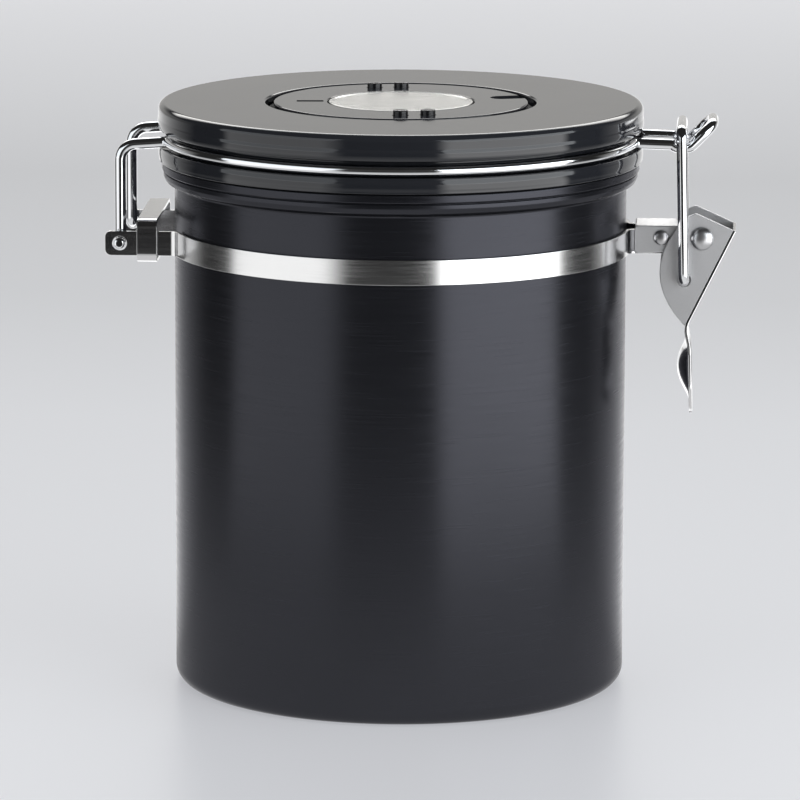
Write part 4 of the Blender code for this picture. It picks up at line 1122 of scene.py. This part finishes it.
def make_centre_disc():
    """Plain disc with a fine raised edge, over the dial's hole."""
    radius = DISC_HIGH.x - GAP
    rim = 0.0007
    drop = 0.00012
    corners = [(0, DIAL_Z), (radius, DIAL_Z), (radius, LID_TOP, 0.0002), (radius - rim, LID_TOP, 0.0001),
               (radius - rim - drop, LID_TOP - drop, 0.0001), (0, LID_TOP - drop)]
    make_turned("centre_disc", softened(corners, 5), "brushed_steel")


def add_number(shape, day, radius, height):
    """Raised number of one day, which stands with its foot towards the middle."""
    text = bpy.data.curves.new("day", "FONT")
    text.body = str(day)
    text.size = DAY_TEXT_HEIGHT
    text.extrude = DAY_TEXT_RELIEF / 2
    text.align_x = "CENTER"
    text.align_y = "CENTER"
    holder = bpy.data.objects.new("day", text)
    mesh = bpy.data.meshes.new_from_object(holder)
    angle = WINDOW_AZIMUTH + 2 * pi * (day - 0.5) / DAYS
    turn = Matrix.Rotation(angle - pi / 2, 4, "Z")
    mesh.transform(turn @ Matrix.Translation((0, radius, height + DAY_TEXT_RELIEF / 2)))
    shape.from_mesh(mesh)
    bpy.data.objects.remove(holder)
    bpy.data.meshes.remove(mesh)


def make_number_ring():
    """Ring of day numbers on the well's floor, under the dial."""
    low, high = RING_LOW.z, RING_HIGH.z
    inner = DIAL_HOLE + CARRIER_LEDGE
    outer = RING_HIGH.x
    corners = [(inner, low), (outer, low), (outer, high, 0.0002), (inner, high, 0.0002)]
    make_turned("number_ring", softened(corners, 4), "matte_black")
    numbers = bmesh.new()
    for day in range(1, DAYS + 1):
        add_number(numbers, day, (inner + outer) / 2, high)
    piece = linked("day_numbers", mesh_of("day_numbers", numbers))
    coat(piece, "number_paint")
    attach(piece, BODY_OF["number_ring"])


def dress_plain_nodes():
    """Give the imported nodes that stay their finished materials."""
    for node, slot, material in (("valve_housing", "black_plastic", "black_moulding"),
                                 ("valve_diaphragm", "silicone", "seal_rubber"),
                                 ("valve_filter", "filter_fibre", "pressed_fibre"),
                                 ("dial_spindle", "black_plastic", "black_moulding"),
                                 ("dial_carrier", "black_plastic", "black_moulding"),
                                 ("spindle_screw", "polished_steel", "polished_steel")):
        piece = frame["nodes"][node]
        coat(piece, material)
        shade(piece.data)


def calculate(tree, operation, one, two):
    """Result of a math node; each input is a socket or a number."""
    return add_node(tree, "ShaderNodeMath", {0: one, 1: two}, operation=operation).outputs["Value"]


def multiply(tree, first, *others):
    """Product of two or more sockets or numbers."""
    for other in others:
        first = calculate(tree, "MULTIPLY", first, other)
    return first


def level_shares(tree, direction):
    """How far a direction or a spot lies to the right and to the back, each from -1 to 1."""
    level = add_node(tree, "ShaderNodeVectorMath", {0: direction, 1: (1, 1, 0)}, operation="MULTIPLY")
    unit = add_node(tree, "ShaderNodeVectorMath", {0: level.outputs["Vector"]}, operation="NORMALIZE")
    split = add_node(tree, "ShaderNodeSeparateXYZ", {"Vector": unit.outputs["Vector"]})
    return split.outputs["X"], split.outputs["Y"]


def mirrored_softboxes(tree, right, back):
    """Painted reflection of the two softboxes: their light as the glossy floor would throw it back, painted on the
    floor for glossy rays.
    """
    one = ranged(tree, right, 0, RIGHT_SOFTBOX, *RIGHT_SOFTBOX_START)
    two = ranged(tree, right, LEFT_SOFTBOX, 0, *LEFT_SOFTBOX_START)
    front = ranged(tree, back, 1, 0, *SOFTBOX_END)
    return multiply(tree, calculate(tree, "ADD", one, two), front)


def light_gradient(tree, source, stops, low, high):
    """Level of the floor's painted glow, in the floor's tint, along a source that runs from low to high."""
    ramp = tree.nodes.new("ShaderNodeValToRGB")
    while len(ramp.color_ramp.elements) < len(stops):
        ramp.color_ramp.elements.new(0.5)
    for element, (spot, level) in zip(ramp.color_ramp.elements, stops):
        element.position = spot
        element.color = (*(level * part for part in FLOOR_TINT), 1)
    tree.links.new(ranged(tree, source, 0, 1, low, high), ramp.inputs["Fac"])
    return ramp.outputs["Color"]


def floor_light(tree, spot):
    """Painted light of the floor in reflections: painted pools of light near the object and behind it, with the
    painted softbox reflections.
    """
    right, back = level_shares(tree, spot)
    behind = ranged(tree, back, 0, FLOOR_BEHIND, *BEHIND_FADE)
    distance = add_node(tree, "ShaderNodeVectorMath", {0: spot}, operation="LENGTH").outputs["Value"]
    near = ranged(tree, distance, NEAR_FLOOR, DARK, *NEAR_FLOOR_FADE)
    far = ranged(tree, distance, 0, 1, *MIRROR_FADE)
    softboxes = multiply(tree, mirrored_softboxes(tree, right, back), far)
    return calculate(tree, "ADD", calculate(tree, "MAXIMUM", behind, softboxes), near)


def make_floor():
    """Wide pale floor that is also the background, with a painted glow for the camera, and painted light and
    painted softbox reflections for glossy rays.
    """
    tree, shader = new_material("studio_floor", FLOOR_COLOR, 0.0, 0.30, Specular_IOR_Level=0.07)
    spot = tree.nodes.new("ShaderNodeTexCoord").outputs["Object"]
    split = add_node(tree, "ShaderNodeSeparateXYZ", {"Vector": spot})
    # painted glow of the floor, which only the camera sees
    glow = light_gradient(tree, split.outputs["Y"], FLOOR_GLOW, *FLOOR_GLOW_SPAN)
    path = tree.nodes.new("ShaderNodeLightPath")
    set_inputs(tree, shader, {"Emission Color": glow, "Emission Strength": path.outputs["Is Camera Ray"]})
    add_bump(tree, shader, (noise(tree, 30), 0.02, 0.001))
    # glossy rays see painted light and painted softbox reflections on the floor, in place of its gloss
    mirrored = add_node(tree, "ShaderNodeEmission", {"Strength": floor_light(tree, spot)})
    glossy = path.outputs["Is Glossy Ray"]
    shaders = {1: shader.outputs["BSDF"], 2: mirrored.outputs["Emission"]}
    mix = add_node(tree, "ShaderNodeMixShader", {"Fac": glossy, **shaders})
    tree.links.new(mix.outputs["Shader"], tree.nodes["Material Output"].inputs["Surface"])
    shape = bmesh.new()
    bmesh.ops.create_circle(shape, cap_ends=True, segments=MEDIUM_ROUND, radius=FLOOR_RADIUS)
    floor = linked("floor", mesh_of("floor", shape))
    coat(floor, "studio_floor")


def make_world():
    """Studio surroundings: pale to look at, and a lit backdrop among dark walls in reflections."""
    world = bpy.data.worlds.new("studio")
    bpy.context.scene.world = world
    world.use_nodes = True
    tree = world.node_tree
    direction = tree.nodes.new("ShaderNodeTexCoord").outputs["Generated"]
    height = add_node(tree, "ShaderNodeSeparateXYZ", {"Vector": direction}).outputs["Z"]
    back = level_shares(tree, direction)[1]
    behind = ranged(tree, back, 0, 1, *BEHIND_FADE)
    wall = multiply(tree, behind, ranged(tree, height, BACKDROP, 0, *BACKDROP_FADE))
    above = ranged(tree, height, 0, RIM_LIGHT, *RIM_LIGHT_START)
    ceiling = ranged(tree, height, 1, 0, *RIM_LIGHT_END)
    rim = multiply(tree, above, ceiling, ranged(tree, back, 0, 1, *RIM_LIGHT_SIDES))
    front = ranged(tree, height, FRONT, DARK, *FRONT_END)
    room = multiply(tree, front, ranged(tree, back, 1, 0, *SOFTBOX_END))
    backdrop = calculate(tree, "ADD", wall, rim)
    mirrored = calculate(tree, "ADD", backdrop, calculate(tree, "MAXIMUM", room, DARK))
    glossy = tree.nodes.new("ShaderNodeLightPath").outputs["Is Glossy Ray"]
    seen = multiply(tree, glossy, mirrored)
    other = multiply(tree, calculate(tree, "SUBTRACT", 1, glossy), SURROUND_LIGHT)
    strength = calculate(tree, "ADD", seen, other)
    set_inputs(tree, tree.nodes["Background"], {"Color": BACKDROP_COLOR, "Strength": strength})


def facing(azimuth, elevation):
    """Turn of something that looks at the middle axis; azimuth 0 is in front."""
    return Matrix.Rotation(azimuth, 4, "Z") @ Matrix.Rotation(pi / 2 - elevation, 4, "X")


def add_softbox(name, azimuth, elevation, width, height, radiance):
    """Area light that faces the canister; azimuth is measured from the camera's side."""
    light = bpy.data.lights.new(name, "AREA")
    light.shape = "RECTANGLE"
    light.size = width
    light.size_y = height
    light.energy = radiance * pi * width * height
    light.color = SOFTBOX_COLOR
    lamp = linked(name, light)
    lamp.visible_camera = False
    turn = facing(radians(azimuth), radians(elevation))
    middle = Matrix.Translation((0, 0, LID_TOP / 2))
    lamp.matrix_world = middle @ turn @ Matrix.Translation((0, 0, SOFTBOX_DISTANCE))


def make_lights():
    """One softbox on each side of the camera, and one behind the canister."""
    add_softbox("right_softbox", azimuth=57, elevation=15, width=1.90, height=0.72, radiance=3.2)
    add_softbox("left_softbox", azimuth=-58, elevation=15, width=1.70, height=0.72, radiance=1.3)
    add_softbox("rim_softbox", azimuth=180, elevation=50, width=1.20, height=0.70, radiance=1.5)


def make_camera():
    """Camera at the photograph's viewpoint."""
    camera = bpy.data.cameras.new("camera")
    camera.sensor_width = CAMERA_SENSOR
    camera.lens = CAMERA_LENS
    camera.clip_start = 0.05
    camera.clip_end = 30
    holder = linked("camera", camera)
    pose = facing(CAMERA_AZIMUTH, CAMERA_PITCH) @ Matrix.Rotation(CAMERA_ROLL, 4, "Z")
    spot = (0, -CAMERA_DISTANCE, CAMERA_HEIGHT)
    pose.translation = Matrix.Rotation(CAMERA_AZIMUTH, 3, "Z") @ Vector(spot)
    holder.matrix_world = pose
    bpy.context.scene.camera = holder
    bpy.context.scene.view_settings.view_transform = "Standard"


def make_materials():
    """Every material that the pieces ask for."""
    steel("polished_steel", (0.66, 0.66, 0.67), 0.14)
    steel("band_steel", (0.72, 0.72, 0.72), 0.19)
    steel("pin_steel", (0.50, 0.50, 0.51), 0.30, spread=0.04, lines=300, stretch=(1, 1, 1), bump=0.06)
    steel("satin_steel", (0.56, 0.56, 0.57), 0.50, spread=0.05, lines=160, stretch=(6, 1, 12), bump=0.06)
    steel("chrome_wire", (0.78, 0.79, 0.81), 0.09, lines=220, stretch=(1, 1, 1), bump=0.03)
    steel("brushed_steel", (0.64, 0.64, 0.63), 0.22, spread=0.06, lines=80, stretch=(1, 40, 1), bump=0.30)
    coated_steel()
    gloss_plastic()
    black_plastic()
    peg_plastic()
    matte_black()
    printed_white()
    silicone()
    fibre()


def make_canister():
    """Every piece of the object."""
    make_body()
    make_half_band("band_front", -1)
    make_half_band("band_rear", 1)
    make_clasp()
    make_bracket()
    make_rivet("bracket_rivet_front", -1)
    make_rivet("bracket_rivet_rear", 1)
    make_pivot_pin()
    make_lever()
    make_cheek("lever_cheek_front", -1)
    make_cheek("lever_cheek_rear", 1)
    make_bail()
    make_lid_wire()
    make_lid_cap()
    make_gasket()
    make_liner()
    make_filter_cap()
    make_dial()
    make_mark_paint()
    for node in PEGS:
        make_peg(node)
    make_centre_disc()
    make_number_ring()
    dress_plain_nodes()


def main():
    make_materials()
    make_canister()
    make_floor()
    make_world()
    make_lights()
    make_camera()


main()
